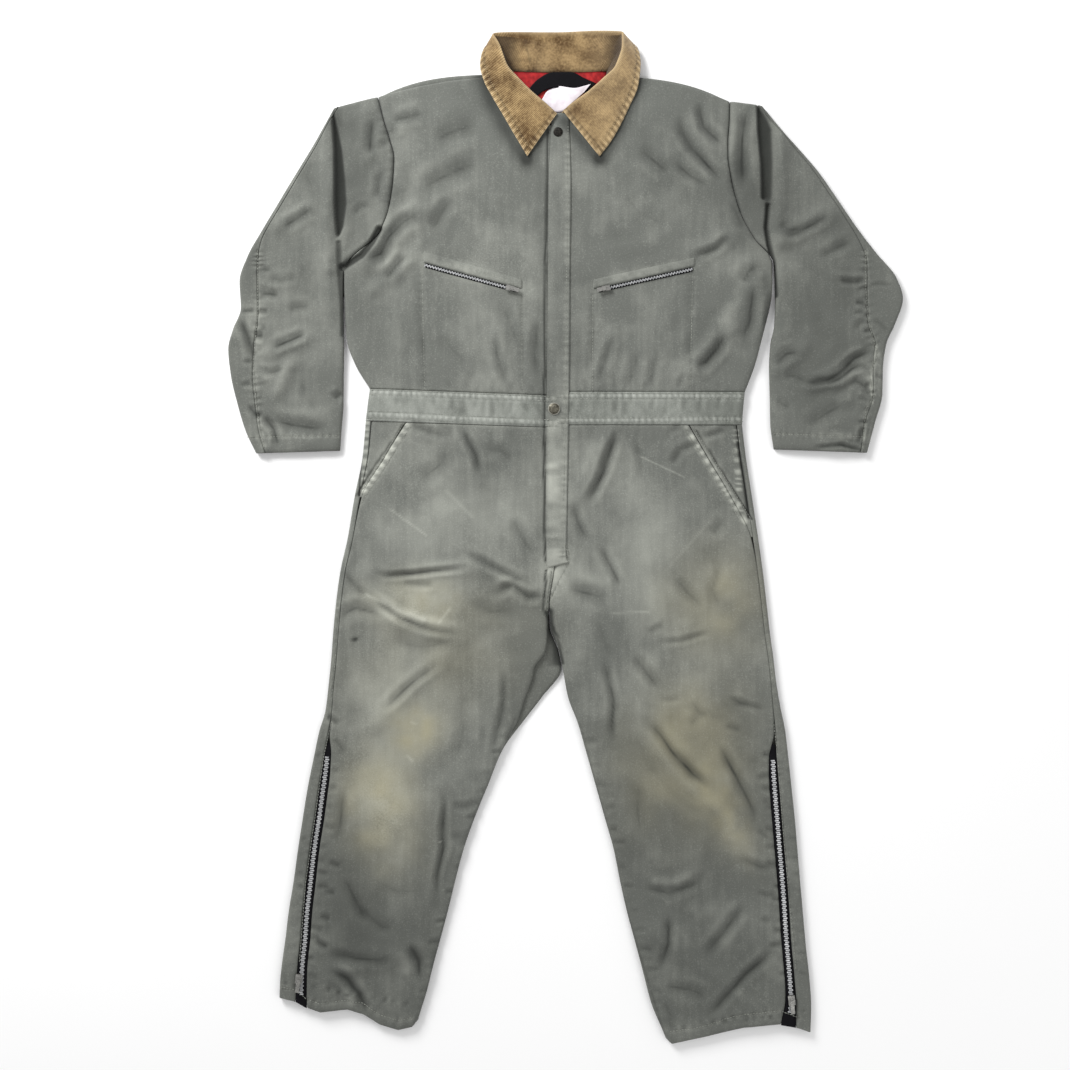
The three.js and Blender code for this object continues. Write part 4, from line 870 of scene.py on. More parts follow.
# Troughs and ridges of the small creases: a soft line with low banks beside it, thinner at its ends
def creased(x, y):
    total = np.zeros_like(x)
    warpX, warpY = warped(x, y, creaseShape["sway"], creaseShape["swaySize"])
    for crease in creases:
        length = runAlong(crease["points"])[-1]
        half = crease["half"]

        def value(away, run, crease=crease, length=length, half=half):
            fade = 0.3 * length
            ends = smoothStep(run / fade + 0.12) * smoothStep((length - run) / fade + 0.12)
            u = away / half
            banks = creaseShape["bank"] * bell(u - creaseShape["bankPlace"], creaseShape["bankHalf"])
            return creaseShape["swell"] * crease["height"] * ends * (np.exp(-u * u) - banks)

        addAlong(total, warpX, warpY, crease["points"], creaseShape["reach"] * half, value)
    return total


# How much each layer of detail moves the cloth, in millimetres, and how far round its line it is worked out
relief = dict(sway=5, swaySize=60, rung=1.1, hollow=7.5, floor=0.6, seamReach=26, ladderReach=20, gapReach=14)


# Height of the cloth above its flat lie, with every fold and crease
def loft(x, y):
    raised = tubePuff(x, y)
    warpX, warpY = warped(x, y, relief["sway"], relief["swaySize"])
    for fold in folds:
        away = nearLine(warpX, warpY, fold["x1"], fold["y1"], fold["x2"], fold["y2"])[0] / fold["half"]
        raised = raised + fold["height"] * np.exp(-away * away)
    raised = raised + creased(x, y) + broadWaves(x, y)
    for number, seam in enumerate(seams):

        def pucker(away, run, seam=seam, number=number):
            return seamPucker(away, run, seam, number)

        addAlong(raised, x, y, seam["points"], relief["seamReach"], pucker)
    for number, ladder in enumerate(ladders):

        def lumps(away, run, ladder=ladder, number=number):
            return relief["rung"] * rung(away, run, ladder, number)

        addAlong(raised, x, y, ladder["points"], relief["ladderReach"], lumps)
    for gap in gaps:

        def dip(away, run, gap=gap):
            return -gap["depth"] * bell(away, gap["half"], 4)

        addAlong(raised, x, y, gap["points"], relief["gapReach"], dip)
    for hollow in (rightHollow, leftHollow):
        raised = raised - relief["hollow"] * inHollow(x, y, hollow)
    return np.maximum(raised, relief["floor"] - cloth["wall"])


def broadWaves(x, y):
    ripple = 0.9 * wander(x + 0.5 * y, y - 0.3 * x, 46, 11) + 0.45 * wander(x, y, 19, 12)
    return ripple + 0.14 * wander(x, y, 8, 13)


# Lumps between twin rows of stitches: one on the lumps, nothing between them
def rung(away, run, ladder, number):
    phase = run / ladder["pitch"] + 0.7 * wander(run, run * 0, 24, number + 70)
    lump = np.clip(0.35 + np.sin(2 * math.pi * phase), 0, 1)
    return lump * bell(away, ladder["half"], 4)


# Distance to a path and how far along it the nearest point is
def pathRun(x, y, points):
    best = np.full_like(x, 1e6)
    run = np.zeros_like(x)
    walked = 0.0
    for (x1, y1), (x2, y2) in zip(points[:-1], points[1:]):
        away, along, length = nearLine(x, y, x1, y1, x2, y2)
        closer = away < best
        best = np.where(closer, away, best)
        run = np.where(closer, walked + along * length, run)
        walked += length
    return best, run


def seamPucker(away, run, seam, number):
    phase = run / seam["pitch"] + 1.3 * wander(run, away * 0, 30, number)
    strength = 0.65 + 0.35 * wander(run, away * 0, 22, number + 50)
    wave = seam["pucker"] * strength * np.sin(2 * math.pi * phase) * bell(away, 8)
    return wave - 0.7 * bell(away, 1.8)


hollowEdge = dict(half=2.5, endHalf=4, endRun=12)


# One inside a hollow folded line, falling off over its steep sides
def inHollow(x, y, rows):
    heights = [row["y"] for row in rows][::-1]
    left = np.interp(y, heights, [row["x1"] for row in rows][::-1])
    right = np.interp(y, heights, [row["x2"] for row in rows][::-1])
    half = hollowEdge["half"]
    inside = smoothStep((x - left + half) / (2 * half)) * smoothStep((right + half - x) / (2 * half))
    low = (y - heights[0] + hollowEdge["endHalf"]) / hollowEdge["endRun"]
    high = (heights[-1] + hollowEdge["endHalf"] - y) / hollowEdge["endRun"]
    return inside * smoothStep(low) * smoothStep(high)


def spotted(x, y, spots, seed):
    total = np.zeros_like(x)
    for number, spot in enumerate(spots):
        turn = math.radians(spot["turn"])
        dx = (x - spot["x"]) * math.cos(turn) + (y - spot["y"]) * math.sin(turn)
        dy = (y - spot["y"]) * math.cos(turn) - (x - spot["x"]) * math.sin(turn)
        reach = np.hypot(dx / spot["across"], dy / spot["along"])
        rough = 0.45 * wander(x, y, 0.4 * min(spot["across"], spot["along"]) + 2, seed + number)
        total = total + spot["amount"] * np.exp(-1.3 * reach * reach) * (1 + rough)
    return total


fineLine = dict(least=-0.8, most=0.42, share=0.12, fade=0.35, half=1.7, reach=6)


# Painted shade: a fine dark line in the bottom of each deeper crease, gone at its ends
def creaseLines(dark, x, y):
    warpX, warpY = warped(x, y, creaseShape["sway"], creaseShape["swaySize"])
    for number, crease in enumerate(creases):
        if crease["height"] > fineLine["least"]:
            continue
        length = runAlong(crease["points"])[-1]
        strength = min(fineLine["most"], fineLine["share"] * abs(crease["height"]))

        def value(away, run, length=length, strength=strength, number=number):
            fade = fineLine["fade"] * length
            ends = smoothStep(run / fade) * smoothStep((length - run) / fade)
            uneven = 1 + 0.6 * wander(run, run * 0, 14, number + 200)
            return strength * ends * uneven * bell(away, fineLine["half"])

        addAlong(dark, warpX, warpY, crease["points"], fineLine["reach"], value)


# Strength of each kind of wear and of painted highlight and shade (crest: painted highlight on crests;
# trough, hollow: painted shade; shadeReach: reach of painted shadow), and half width and reach of what lies
# along a line
wearAndShade = dict(scratch=0.7, crest=0.07, trough=0.13, hollow=0.95, shadeReach=34)
rubLine = dict(half=3.4, reach=14)
threadLine = dict(amount=0.3, half=1.6, reach=8)


# Wear and dirt of the shell at each point, with painted shade in creases, gaps and hollows, painted shadow of
# the collar and painted highlight on crests
def shellWearAndShade(x, y):
    pale = spotted(x, y, fadedSpots, 20)
    dark = spotted(x, y, darkSpots, 60) + spotted(x, y, darkStreaks, 76)
    for scratch in scratches:
        away = nearLine(x, y, scratch["x1"], scratch["y1"], scratch["x2"], scratch["y2"])[0]
        pale = pale + wearAndShade["scratch"] * scratch["amount"] * bell(away, scratch["half"])
    for number, seam in enumerate(seams):

        def paled(away, run, seam=seam, number=number):
            phase = 2 * math.pi * run / seam["pitch"] + 3 * wander(run, run * 0, 25, number)
            return seam["rub"] * (0.3 + 0.7 * (0.5 + 0.5 * np.sin(phase))) * bell(away, rubLine["half"])

        def threaded(away, run):
            return threadLine["amount"] * bell(away, threadLine["half"])

        addAlong(pale, x, y, seam["points"], rubLine["reach"], paled)
        addAlong(dark, x, y, seam["points"], threadLine["reach"], threaded)
    for number, ladder in enumerate(ladders):

        def lumps(away, run, ladder=ladder, number=number):
            return ladder["amount"] * rung(away, run, ladder, number)

        addAlong(pale, x, y, ladder["points"], relief["ladderReach"], lumps)
    # Painted shade along the gaps
    for gap in gaps:

        def shadowed(away, run, gap=gap):
            return gap["amount"] * bell(away, gap["half"], 4)

        addAlong(dark, x, y, gap["points"], relief["gapReach"], shadowed)
    # Painted shadow of the collar, and painted shade beside the hollows and the strip
    for shade in shades:

        def cast(away, run, shade=shade):
            return shade["amount"] * bell(away, shade["half"])

        addAlong(dark, x, y, shade["points"], wearAndShade["shadeReach"], cast)
    creaseLines(dark, x, y)
    # Painted highlight on the crests of creases and waves, and painted shade in their troughs
    crest = creased(x, y) + 0.6 * broadWaves(x, y)
    pale = pale + wearAndShade["crest"] * np.clip(crest, 0, 3)
    for size, seed, amount in ((60, 33, 0.08), (26, 31, 0.06), (9, 32, 0.03)):
        pale = pale + amount * wander(x, y, size, seed)
    dark = dark + wearAndShade["trough"] * np.clip(-crest, 0, 3.2) + 0.07 * wander(x, y, 75, 34)
    # Painted shade inside the sleeve-cap hollows
    for hollow in (rightHollow, leftHollow):
        dark = dark + wearAndShade["hollow"] * inHollow(x, y, hollow)
    ochre = spotted(x, y, ochreSpots, 90)
    return dict(pale=np.clip(pale, 0, 1), ochre=np.clip(ochre, 0, 1), dark=np.clip(dark, 0, 1))


# A mesh from a grid of points in millimetres, shown smooth, with point values for its material
def gridPiece(name, points, attributes=None, looped=False):
    rows, cols = points.shape[:2]
    flat = points.reshape(-1, 3).copy()
    flat[:, 0] += shift["x"]
    flat[:, 1] += shift["y"]
    index = np.arange(rows * cols).reshape(rows, cols)
    quads = np.stack([index[:-1, :-1], index[1:, :-1], index[1:, 1:], index[:-1, 1:]], axis=-1).reshape(-1, 4)
    if looped:
        join = np.stack([index[:-1, -1], index[1:, -1], index[1:, 0], index[:-1, 0]], axis=-1)
        half = cols // 2
        ends = []
        for line, order in ((index[0], (0, 1, 2, 3)), (index[-1], (0, 3, 2, 1))):
            corners = [line[:half - 1], line[1:half], line[::-1][1:half], line[::-1][:half - 1]]
            ends.append(np.stack([corners[number] for number in order], axis=-1))
        quads = np.concatenate([quads, join, *ends])
    mesh = bpy.data.meshes.new(name)
    mesh.vertices.add(len(flat))
    mesh.vertices.foreach_set("co", (flat * mm).astype(np.float32).ravel())
    mesh.loops.add(len(quads) * 4)
    mesh.loops.foreach_set("vertex_index", quads.astype(np.int32).ravel())
    mesh.polygons.add(len(quads))
    mesh.polygons.foreach_set("loop_start", np.arange(0, len(quads) * 4, 4, dtype=np.int32))
    mesh.polygons.foreach_set("use_smooth", np.ones(len(quads), dtype=bool))
    mesh.update(calc_edges=True)
    mesh.validate()
    for key, values in (attributes or {}).items():
        layer = mesh.attributes.new(key, "FLOAT", "POINT")
        layer.data.foreach_set("value", np.asarray(values, dtype=np.float32).ravel())
    piece = bpy.data.objects.new(name, mesh)
    bpy.context.scene.collection.objects.link(piece)
    return piece


# Flat size of a grid seen from above, for the cut of the cloth
def flatArea(points):
    a = points[1:, 1:, :2] - points[:-1, :-1, :2]
    b = points[1:, :-1, :2] - points[:-1, 1:, :2]
    return float(np.abs(a[..., 0] * b[..., 1] - a[..., 1] * b[..., 0]).sum() / 2) * mm * mm


# A narrow tape's cut runs on under the cloth, and a cut fills a part of its rectangle
sheetLimits = dict(narrow=0.0105, share=0.31)


# Sides of the box round a grid, turned along the way it lies
def turnedSpans(points):
    flat = points[..., :2].reshape(-1, 2)
    centred = flat - flat.mean(axis=0)
    turned = centred @ np.linalg.eigh(centred.T @ centred)[1]
    return tuple(max(sheetLimits["narrow"], float(value) * mm) for value in np.ptp(turned, axis=0))


def heldCut(spanX, spanY, cut):
    return min(spanX * spanY, max(sheetLimits["share"] * spanX * spanY, cut))


def clothPiece(name, points, nodes, look, attributes=None, rests=("underside",)):
    piece = gridPiece(name, points, attributes)
    piece.data.materials.append(look)
    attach(piece, "suit")
    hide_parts(*nodes)
    spanX, spanY = turnedSpans(points)
    cut = heldCut(spanX, spanY, flatArea(points))
    return piece


fineEdge = dict(steps=[0.0, 0.7, 1.6, 2.8], inner=4.4, taken=8)


# Places across a strip, close together at its two ends so that its edges can round over
def fineSpread(length, step):
    near = fineEdge["steps"]
    count = max(3, int(round((length - fineEdge["taken"]) / step)))
    inner = list(np.linspace(fineEdge["inner"], length - fineEdge["inner"], count))
    places = near + inner + [length - value for value in near[::-1]]
    return np.array(places) / length


edgeFalls = dict(
    sewn=dict(depth=1.5, reach=3.2),
    free=dict(depth=4.3, reach=12.0),
    seam=dict(depth=3.4, reach=9.0),
)


# How much an edge falls away: a sewn edge sinks a little, the others round right over
def edgeFall(distance, kind):
    fall = edgeFalls[kind]
    close = np.clip(1 - distance / fall["reach"], 0, 1) ** 2
    if kind == "sewn":
        return fall["depth"] * close
    return fall["depth"] * (1 - np.sqrt(1 - close))


# Adds a turned-down rim round a grid of top points
def rimmed(points, under):
    rows, cols = points.shape[:2]
    wide = np.zeros((rows + 2, cols + 2, 3))
    wide[1:-1, 1:-1] = points
    wide[0, 1:-1] = points[0]
    wide[-1, 1:-1] = points[-1]
    wide[1:-1, 0] = points[:, 0]
    wide[1:-1, -1] = points[:, -1]
    wide[0, 0] = points[0, 0]
    wide[0, -1] = points[0, -1]
    wide[-1, 0] = points[-1, 0]
    wide[-1, -1] = points[-1, -1]
    low = np.zeros((rows + 2, cols + 2), dtype=bool)
    low[0] = low[-1] = True
    low[:, 0] = low[:, -1] = True
    wide[..., 2] = np.where(low, under, wide[..., 2])
    return wide


# Spacing of the mesh in millimetres
grain = dict(step=2.6, sleeveStep=1.6)


# A value in a material that can be written in plain sums
class Flow:
    def __init__(self, look, socket):
        self.look = look
        self.socket = socket

    def sum(self, operation, first, second):
        return self.look.node("ShaderNodeMath", dict(operation=operation), {0: first, 1: second})

    def __add__(self, other):
        return self.sum("ADD", self, other)

    def __radd__(self, other):
        return self.sum("ADD", other, self)

    def __sub__(self, other):
        return self.sum("SUBTRACT", self, other)

    def __rsub__(self, other):
        return self.sum("SUBTRACT", other, self)

    def __mul__(self, other):
        return self.sum("MULTIPLY", self, other)

    def __rmul__(self, other):
        return self.sum("MULTIPLY", other, self)

    def held(self):
        return self.look.node("ShaderNodeClamp", {}, {"Value": self})

    def sine(self):
        return self.look.node("ShaderNodeMath", dict(operation="SINE"), {0: self})


# A named material and the few ways its nodes are made
class Look:
    def __init__(self, name, roughness=0.9, metallic=0.0, sheen=0.0, specular=0.5):
        self.material = bpy.data.materials.new(name)
        self.material.use_nodes = True
        self.tree = self.material.node_tree
        self.shader = self.tree.nodes["Principled BSDF"]
        self.shader.inputs["Roughness"].default_value = roughness
        self.shader.inputs["Metallic"].default_value = metallic
        self.shader.inputs["Specular IOR Level"].default_value = specular
        self.shader.inputs["Sheen Weight"].default_value = sheen
        self.shader.inputs["Sheen Roughness"].default_value = 0.5

    def node(self, kind, settings, values, output=0):
        made = self.tree.nodes.new(kind)
        for key, value in settings.items():
            setattr(made, key, value)
        for key, value in values.items():
            self.feed(made.inputs[key], value)
        return Flow(self, made.outputs[output])

    def feed(self, socket, value):
        if isinstance(value, Flow):
            self.tree.links.new(value.socket, socket)
        else:
            socket.default_value = value

    def place(self):
        return self.node("ShaderNodeTexCoord", {}, {}, "Object")

    def stretched(self, scale, turn=0.0):
        values = {"Vector": self.place(), "Scale": scale, "Rotation": (0, 0, turn)}
        return self.node("ShaderNodeMapping", {}, values)

    def point(self, name):
        return self.node("ShaderNodeAttribute", dict(attribute_name=name), {}, "Fac")

    def noise(self, vector, scale, detail=3.0):
        return self.node("ShaderNodeTexNoise", {}, {"Vector": vector, "Scale": scale, "Detail": detail})

    def blend(self, share, low, high):
        return self.node("ShaderNodeMix", dict(data_type="RGBA"), {0: share, 6: low, 7: high}, 2)

    def paint(self, colour, roughness=None):
        self.feed(self.shader.inputs["Base Color"], colour)
        if roughness is not None:
            self.feed(self.shader.inputs["Roughness"], roughness)

    def bump(self, height, strength, distance):
        values = {"Height": height, "Strength": strength, "Distance": distance}
        self.feed(self.shader.inputs["Normal"], self.node("ShaderNodeBump", {}, values))


# A colour from its screen values of 0 to 255
def tint(red, green, blue):
    parts = []
    for value in (red, green, blue):
        share = value / 255
        parts.append(share / 12.92 if share <= 0.04045 else ((share + 0.055) / 1.055) ** 2.4)
    return (*parts, 1.0)


# Worn twill: a fine slanted weave, uneven fading with painted highlight on crests, ochre dirt, and dark marks
# that are mostly painted shade
def twillLook(name, base, faded):
    look = Look(name, sheen=0.12, specular=0.3)
    threads = look.noise(look.stretched((1500, 300, 1), 0.7), 1.0, 2.0)
    grainy = look.noise(look.place(), 520.0, 3.0)
    cloudy = look.noise(look.place(), 11.0, 6.0)
    streaks = look.noise(look.stretched((130, 14, 1)), 1.0, 4.0)
    uneven = (cloudy - 0.5) * 0.45 + (grainy - 0.5) * 0.16 + (streaks - 0.5) * 0.22
    paled = (look.point("pale") + uneven).held()
    colour = look.blend(paled, base, faded)
    colour = look.blend((look.point("ochre") * (0.6 + 0.8 * cloudy)).held(), colour, tint(160, 154, 126))
    colour = look.blend(((grainy - 0.56) * 0.9).held(), colour, tint(190, 194, 186))
    colour = look.blend(((0.45 - grainy) * 1.0 + (0.44 - cloudy) * 0.8).held(), colour, tint(78, 82, 76))
    # Painted shade and dirt from the dark attribute: creases, gaps, hollows, the collar's shadow and the
    # darker sleeves and legs
    colour = look.blend((look.point("dark") * 0.9).held(), colour, tint(38, 40, 37))
    look.paint(colour, 0.95 - 0.12 * paled)
    look.bump(threads * 0.4 + grainy * 0.5, 0.4, 0.0005)
    return look.material


shellLook = twillLook("shellTwill", tint(101, 103, 98), tint(182, 184, 174))
bandLook = twillLook("bandTwill", tint(112, 115, 109), tint(202, 205, 197))


def corduroyLook():
    look = Look("collarCorduroy", sheen=0.3, specular=0.2)
    ribs = (look.point("ribs") * (2 * math.pi / 2.8)).sine() * 0.5 + 0.5
    grainy = look.noise(look.place(), 300.0, 4.0)
    cloudy = look.noise(look.place(), 34.0, 5.0)
    mottled = ((cloudy - 0.5) * 2.9 + 0.47 + (grainy - 0.5) * 1.4).held()
    colour = look.blend(mottled, tint(92, 68, 37), tint(174, 146, 102))
    colour = look.blend((look.point("pale") * 0.85).held(), colour, tint(216, 190, 146))
    colour = look.blend(((1 - ribs) * 0.22).held(), colour, tint(70, 50, 26))
    colour = look.blend((look.point("dark") * 0.85).held(), colour, tint(44, 30, 14))
    look.paint(colour)
    look.bump(ribs + grainy * 0.8, 0.7, 0.001)
    return look.material


def plainCloth(name, low, high, scale, roughness=0.85, sheen=0.1):
    look = Look(name, roughness=roughness, sheen=sheen, specular=0.15)
    weave = look.noise(look.place(), scale, 3.0)
    cloudy = look.noise(look.place(), 40.0, 3.0)
    look.paint(look.blend(((weave - 0.5) * 1.4 + (cloudy - 0.5) + 0.5).held(), low, high))
    look.bump(weave, 0.5, 0.0005)
    return look.material


def metalLook(name, low, high, roughness, metallic=1.0):
    look = Look(name, roughness=roughness, metallic=metallic)
    surfaceMarks = look.noise(look.place(), 500.0, 4.0)
    cloudy = look.noise(look.place(), 120.0, 3.0)
    paled = ((surfaceMarks - 0.5) * 1.6 + (cloudy - 0.5) + 0.5).held()
    look.paint(look.blend(paled, low, high), roughness + 0.25 * (1 - paled))
    look.bump(surfaceMarks, 0.3, 0.0003)
    return look.material


collarLook = corduroyLook()
liningLook = plainCloth("redLining", tint(112, 20, 26), tint(182, 44, 44), 160.0, 0.6, sheen=0.0)
tapeLook = plainCloth("blackTape", tint(5, 5, 7), tint(15, 14, 19), 600.0, sheen=0.0)
labelLook = plainCloth("whiteLabel", tint(200, 190, 198), tint(240, 236, 240), 90.0)
threadLook = plainCloth("stitchThread", tint(96, 99, 93), tint(158, 160, 152), 300.0)
tanThreadLook = plainCloth("tanThread", tint(150, 128, 92), tint(196, 174, 134), 300.0)
teethLook = metalLook("zipTeeth", tint(140, 142, 144), tint(226, 227, 228), 0.36, 0.7)
capLook = metalLook("snapCap", tint(60, 58, 50), tint(150, 146, 132), 0.35)
rimLook = metalLook("snapRim", tint(120, 118, 108), tint(206, 204, 194), 0.3)
pullLook = metalLook("zipPull", tint(96, 96, 94), tint(176, 175, 170), 0.34, 0.8)
darkLook = metalLook("darkSnap", tint(20, 20, 20), tint(66, 64, 60), 0.45)
print("materials are made")


# Places down a table, close enough for the grain of the mesh, with lengths in millimetres
def rowPlaces(table, keys, start, end, step, fineEnds):
    xKey, yKey = keys
    places = [start]
    walked = [0.0]
    low = start
    while low < end - 1e-6:
        high = min(end, math.floor(low + 1e-6) + 1)
        dx = sampled(table, xKey, high) - sampled(table, xKey, low)
        dy = sampled(table, yKey, high) - sampled(table, yKey, low)
        length = math.hypot(dx, dy)
        count = max(1, int(math.ceil(length / step)))
        for number in range(1, count + 1):
            places.append(low + (high - low) * number / count)
            walked.append(walked[-1] + length / count)
        low = high
    if fineEnds:
        gap = (places[1] - places[0]) / 3
        places[1:1] = [places[0] + gap, places[0] + 2 * gap]
        walked[1:1] = [walked[1] / 3, walked[1] * 2 / 3]
        gap = (places[-1] - places[-2]) / 3
        run = (walked[-1] - walked[-2]) / 3
        places[-1:-1] = [places[-2] + gap, places[-2] + 2 * gap]
        walked[-1:-1] = [walked[-2] + run, walked[-2] + 2 * run]
    return places, np.array(walked)


# Lowers the four edges of a grid: ends gives left, right, first row and last row
def roundedEdges(height, walked, shares, widths, ends):
    left = np.outer(widths, shares)
    right = np.outer(widths, 1 - shares)
    total = walked[-1]
    height = height - edgeFall(left, ends[0]) - edgeFall(right, ends[1])
    return height - edgeFall(walked, ends[2])[:, None] - edgeFall(total - walked, ends[3])[:, None]


# Rows down a panel: both ends and the bow of each, how far down it lies, and its width
def panelRows(table, step):
    places, walked = rowPlaces(table, ("lx", "ly"), 0, len(table) - 1, step, True)
    rows = {}
    for key in ("lx", "ly", "rx", "ry", "bow"):
        rows[key] = np.array([sampled(table, key, place) for place in places])
    return rows, walked, np.hypot(rows["rx"] - rows["lx"], rows["ry"] - rows["ly"])


def acrossRows(rows, shares, bowPower=2):
    x = lerp(rows["lx"][:, None], rows["rx"][:, None], shares)
    y = lerp(rows["ly"][:, None], rows["ry"][:, None], shares)
    return x, y + rows["bow"][:, None] * (1 - np.abs(2 * shares - 1) ** bowPower)


narrow = dict(width=16, columns=7)


# A panel between the ends of its table rows, with its top cloth and a rim to the layer below
def panelPoints(table, lift, drop, ends, step=grain["step"]):
    rows, walked, widths = panelRows(table, step)
    shares = np.linspace(0, 1, narrow["columns"])
    if widths.mean() > narrow["width"]:
        shares = fineSpread(float(widths.mean()), step)
    x, y = acrossRows(rows, shares)
    top = edgeHeight + loft(x, y) + lift
    z = roundedEdges(top, walked, shares, widths, ends)
    under = np.pad(top - drop, 1, mode="edge")
    return rimmed(np.stack([x, y, z], axis=-1), under)


def shellPiece(name, points, nodes, look=shellLook):
    surfaceMarks = shellWearAndShade(points[..., 0], points[..., 1])
    return clothPiece(name, points, nodes, look, surfaceMarks)


frontDrop = cloth["wall"]
frontEdges = dict(right=("free", "sewn", "sewn", "sewn"), left=("sewn", "free", "sewn", "sewn"))
sewnEdges = ("sewn", "sewn", "sewn", "sewn")
for side, table in (("Right", rightFront), ("Left", leftFront)):
    points = panelPoints(table, 0, frontDrop, frontEdges[side.lower()])
    shellPiece("frontBodice" + side + "Cloth", points, ["front_bodice_" + side.lower()])
bandDrop = frontDrop + cloth["bandRise"]
for side, table in (("Right", rightBand), ("Left", leftBand)):
    points = panelPoints(table, cloth["bandRise"], bandDrop, frontEdges[side.lower()])
    node = "front_waistband_" + side.lower()
    shellPiece("frontBand" + side + "Cloth", points, [node], bandLook)
print("front of the body lies")


# Rows of one tube: both outlines and its reaches at each place
def tubeRows(table, start=0.0, end=None, step=grain["step"], fineEnds=True):
    end = len(table) - 1 if end is None else end
    places, walked = rowPlaces(table, ("ix", "iy"), start, end, step, fineEnds)
    rows = {key: np.array([sampled(table, key, p) for p in places]) for key in ("ix", "iy", "ox", "oy")}
    rows["wrap"] = np.maximum(rollRadius + 2, [sampled(table, "wrap", p) for p in places])
    rows["slot"] = np.maximum(0, [sampled(table, "slot", p) for p in places])
    rows["inset"] = np.maximum(0, [sampled(table, "inset", p) for p in places])
    rows["length"] = np.hypot(rows["ox"] - rows["ix"], rows["oy"] - rows["iy"])
    return rows, walked


def atReach(rows, reach):
    share = reach / rows["length"][:, None]
    x = lerp(rows["ix"][:, None], rows["ox"][:, None], share)
    y = lerp(rows["iy"][:, None], rows["oy"][:, None], share)
    return x, hemmed(x, y)


# How far each hem strays from the straight line between its corners, over a low stretch of the leg
hems = dict(
    right=dict(
        line=[(-431, -692), (-222, -733)],
        stray=[(-431, 0), (-408, 0), (-390, -6.5), (-369, -9.8), (-328, 2.7), (-304, 0), (-280, -10.5),
               (-252, -13.8), (-231, -5), (-222, 8)],
    ),
    left=dict(
        line=[(150, -761), (368, -742)],
        stray=[(150, 8), (159, -1.5), (185, 2), (212, 5.5), (240, 10), (267, 14), (321, 14), (351, 6),
               (366, -1.5)],
    ),
)
hemReach = dict(height=70, side=30)


def hemmed(x, y):
    for hem in hems.values():
        (x1, y1), (x2, y2) = hem["line"]
        level = np.interp(x, [x1, x2], [y1, y2])
        stray = np.interp(x, [point[0] for point in hem["stray"]], [point[1] for point in hem["stray"]])
        beside = (x > x1 - hemReach["side"]) & (x < x2 + hemReach["side"])
        y = y + np.where(beside, stray * smoothStep(1 - (y - level) / hemReach["height"]), 0)
    return y


# Front half of a leg or sleeve
def topPoints(table, ends, step=grain["step"]):
    rows, walked = tubeRows(table, step=step)
    low = rows["inset"]
    high = rows["length"] - rows["wrap"] - rows["slot"] - cloth["seam"]
    shares = fineSpread(float((high - low).mean()), step)
    x, y = atReach(rows, lerp(low[:, None], high[:, None], shares))
    top = edgeHeight + loft(x, y)
    z = roundedEdges(top, walked, shares, high - low, ends)
    return rimmed(np.stack([x, y, z], axis=-1), np.pad(top - cloth["wall"], 1, mode="edge"))


strip = dict(reach=10, start=1.5, shares=(1.0, 0.5, 0.12), drops=(0, 0, 0.6))
wrapped = dict(baseColumns=14, rollColumns=10, wrapStep=3.0, sink=0.7)


# Back half: inner strip, flat underside, round roll at the outer edge and the wrap over the top
def wrapPoints(table):
    rows = tubeRows(table)[0]
    length = rows["length"][:, None]
    inset = rows["inset"][:, None]
    wrap = rows["wrap"][:, None]
    columns = []
    for share, drop in zip(strip["shares"], strip["drops"]):
        reach = strip["start"] + share * (inset + strip["reach"])
        columns.append((reach, np.full_like(length, cloth["wall"] - drop)))
    for reach, height in ((0.4, 3.4), (0.0, 1.6)):
        columns.append((np.full_like(length, reach), np.full_like(length, height)))
    for share in np.linspace(0.01, 1, wrapped["baseColumns"]):
        columns.append((share * (length - rollRadius), np.zeros_like(length)))
    for turn in np.linspace(0, math.pi, wrapped["rollColumns"] + 1)[1:]:
        reach = length - rollRadius + rollRadius * math.sin(turn)
        columns.append((reach, np.full_like(length, rollRadius - rollRadius * math.cos(turn))))
    steps = max(3, int(float((rows["wrap"] - rollRadius).max()) / wrapped["wrapStep"]))
    for share in np.linspace(0, 1, steps + 1)[1:]:
        reach = length - rollRadius - share * (wrap - rollRadius)
        x, y = atReach(rows, reach)
        raised = loft(x, y) * float(smoothStep(share * 1.3))
        columns.append((reach, edgeHeight + raised - wrapped["sink"] * share**6))
    reach, height = columns[-1]
    columns.append((reach - 0.1, height - cloth["wall"] + wrapped["sink"]))
    reach = np.concatenate([column[0] for column in columns], axis=1)
    z = np.concatenate([column[1] for column in columns], axis=1)
    x, y = atReach(rows, reach)
    return np.stack([x, y, z], axis=-1)


# Strip that fills a tube's slot between two places of its table
def slotPoints(table, start, end, lift, drop, margin, step=grain["step"]):
    rows = tubeRows(table, start, end, step)[0]
    low = rows["length"] - rows["wrap"] - rows["slot"]
    high = rows["length"] - rows["wrap"] - cloth["seam"]
    shares = np.linspace(margin, 1 - margin, max(5, int((high - low).mean() / grain["step"])))
    x, y = atReach(rows, lerp(low[:, None], high[:, None], shares))
    top = edgeHeight + loft(x, y) + lift
    return rimmed(np.stack([x, y, top], axis=-1), np.pad(top - drop, 1, mode="edge"))


legEdges = ("seam", "sewn", "sewn", "free")
sleeveEdges = ("free", "sewn", "sewn", "free")
for side, table in (("Right", rightLeg), ("Left", leftLeg)):
    shellPiece("frontLeg" + side + "Cloth", topPoints(table, legEdges), ["front_leg_" + side.lower()])
for side, table in (("Right", rightSleeve), ("Left", leftSleeve)):
    points = topPoints(table, sleeveEdges, grain["sleeveStep"])
    shellPiece("upperSleeve" + side + "Cloth", points, ["upper_sleeve_" + side.lower()])

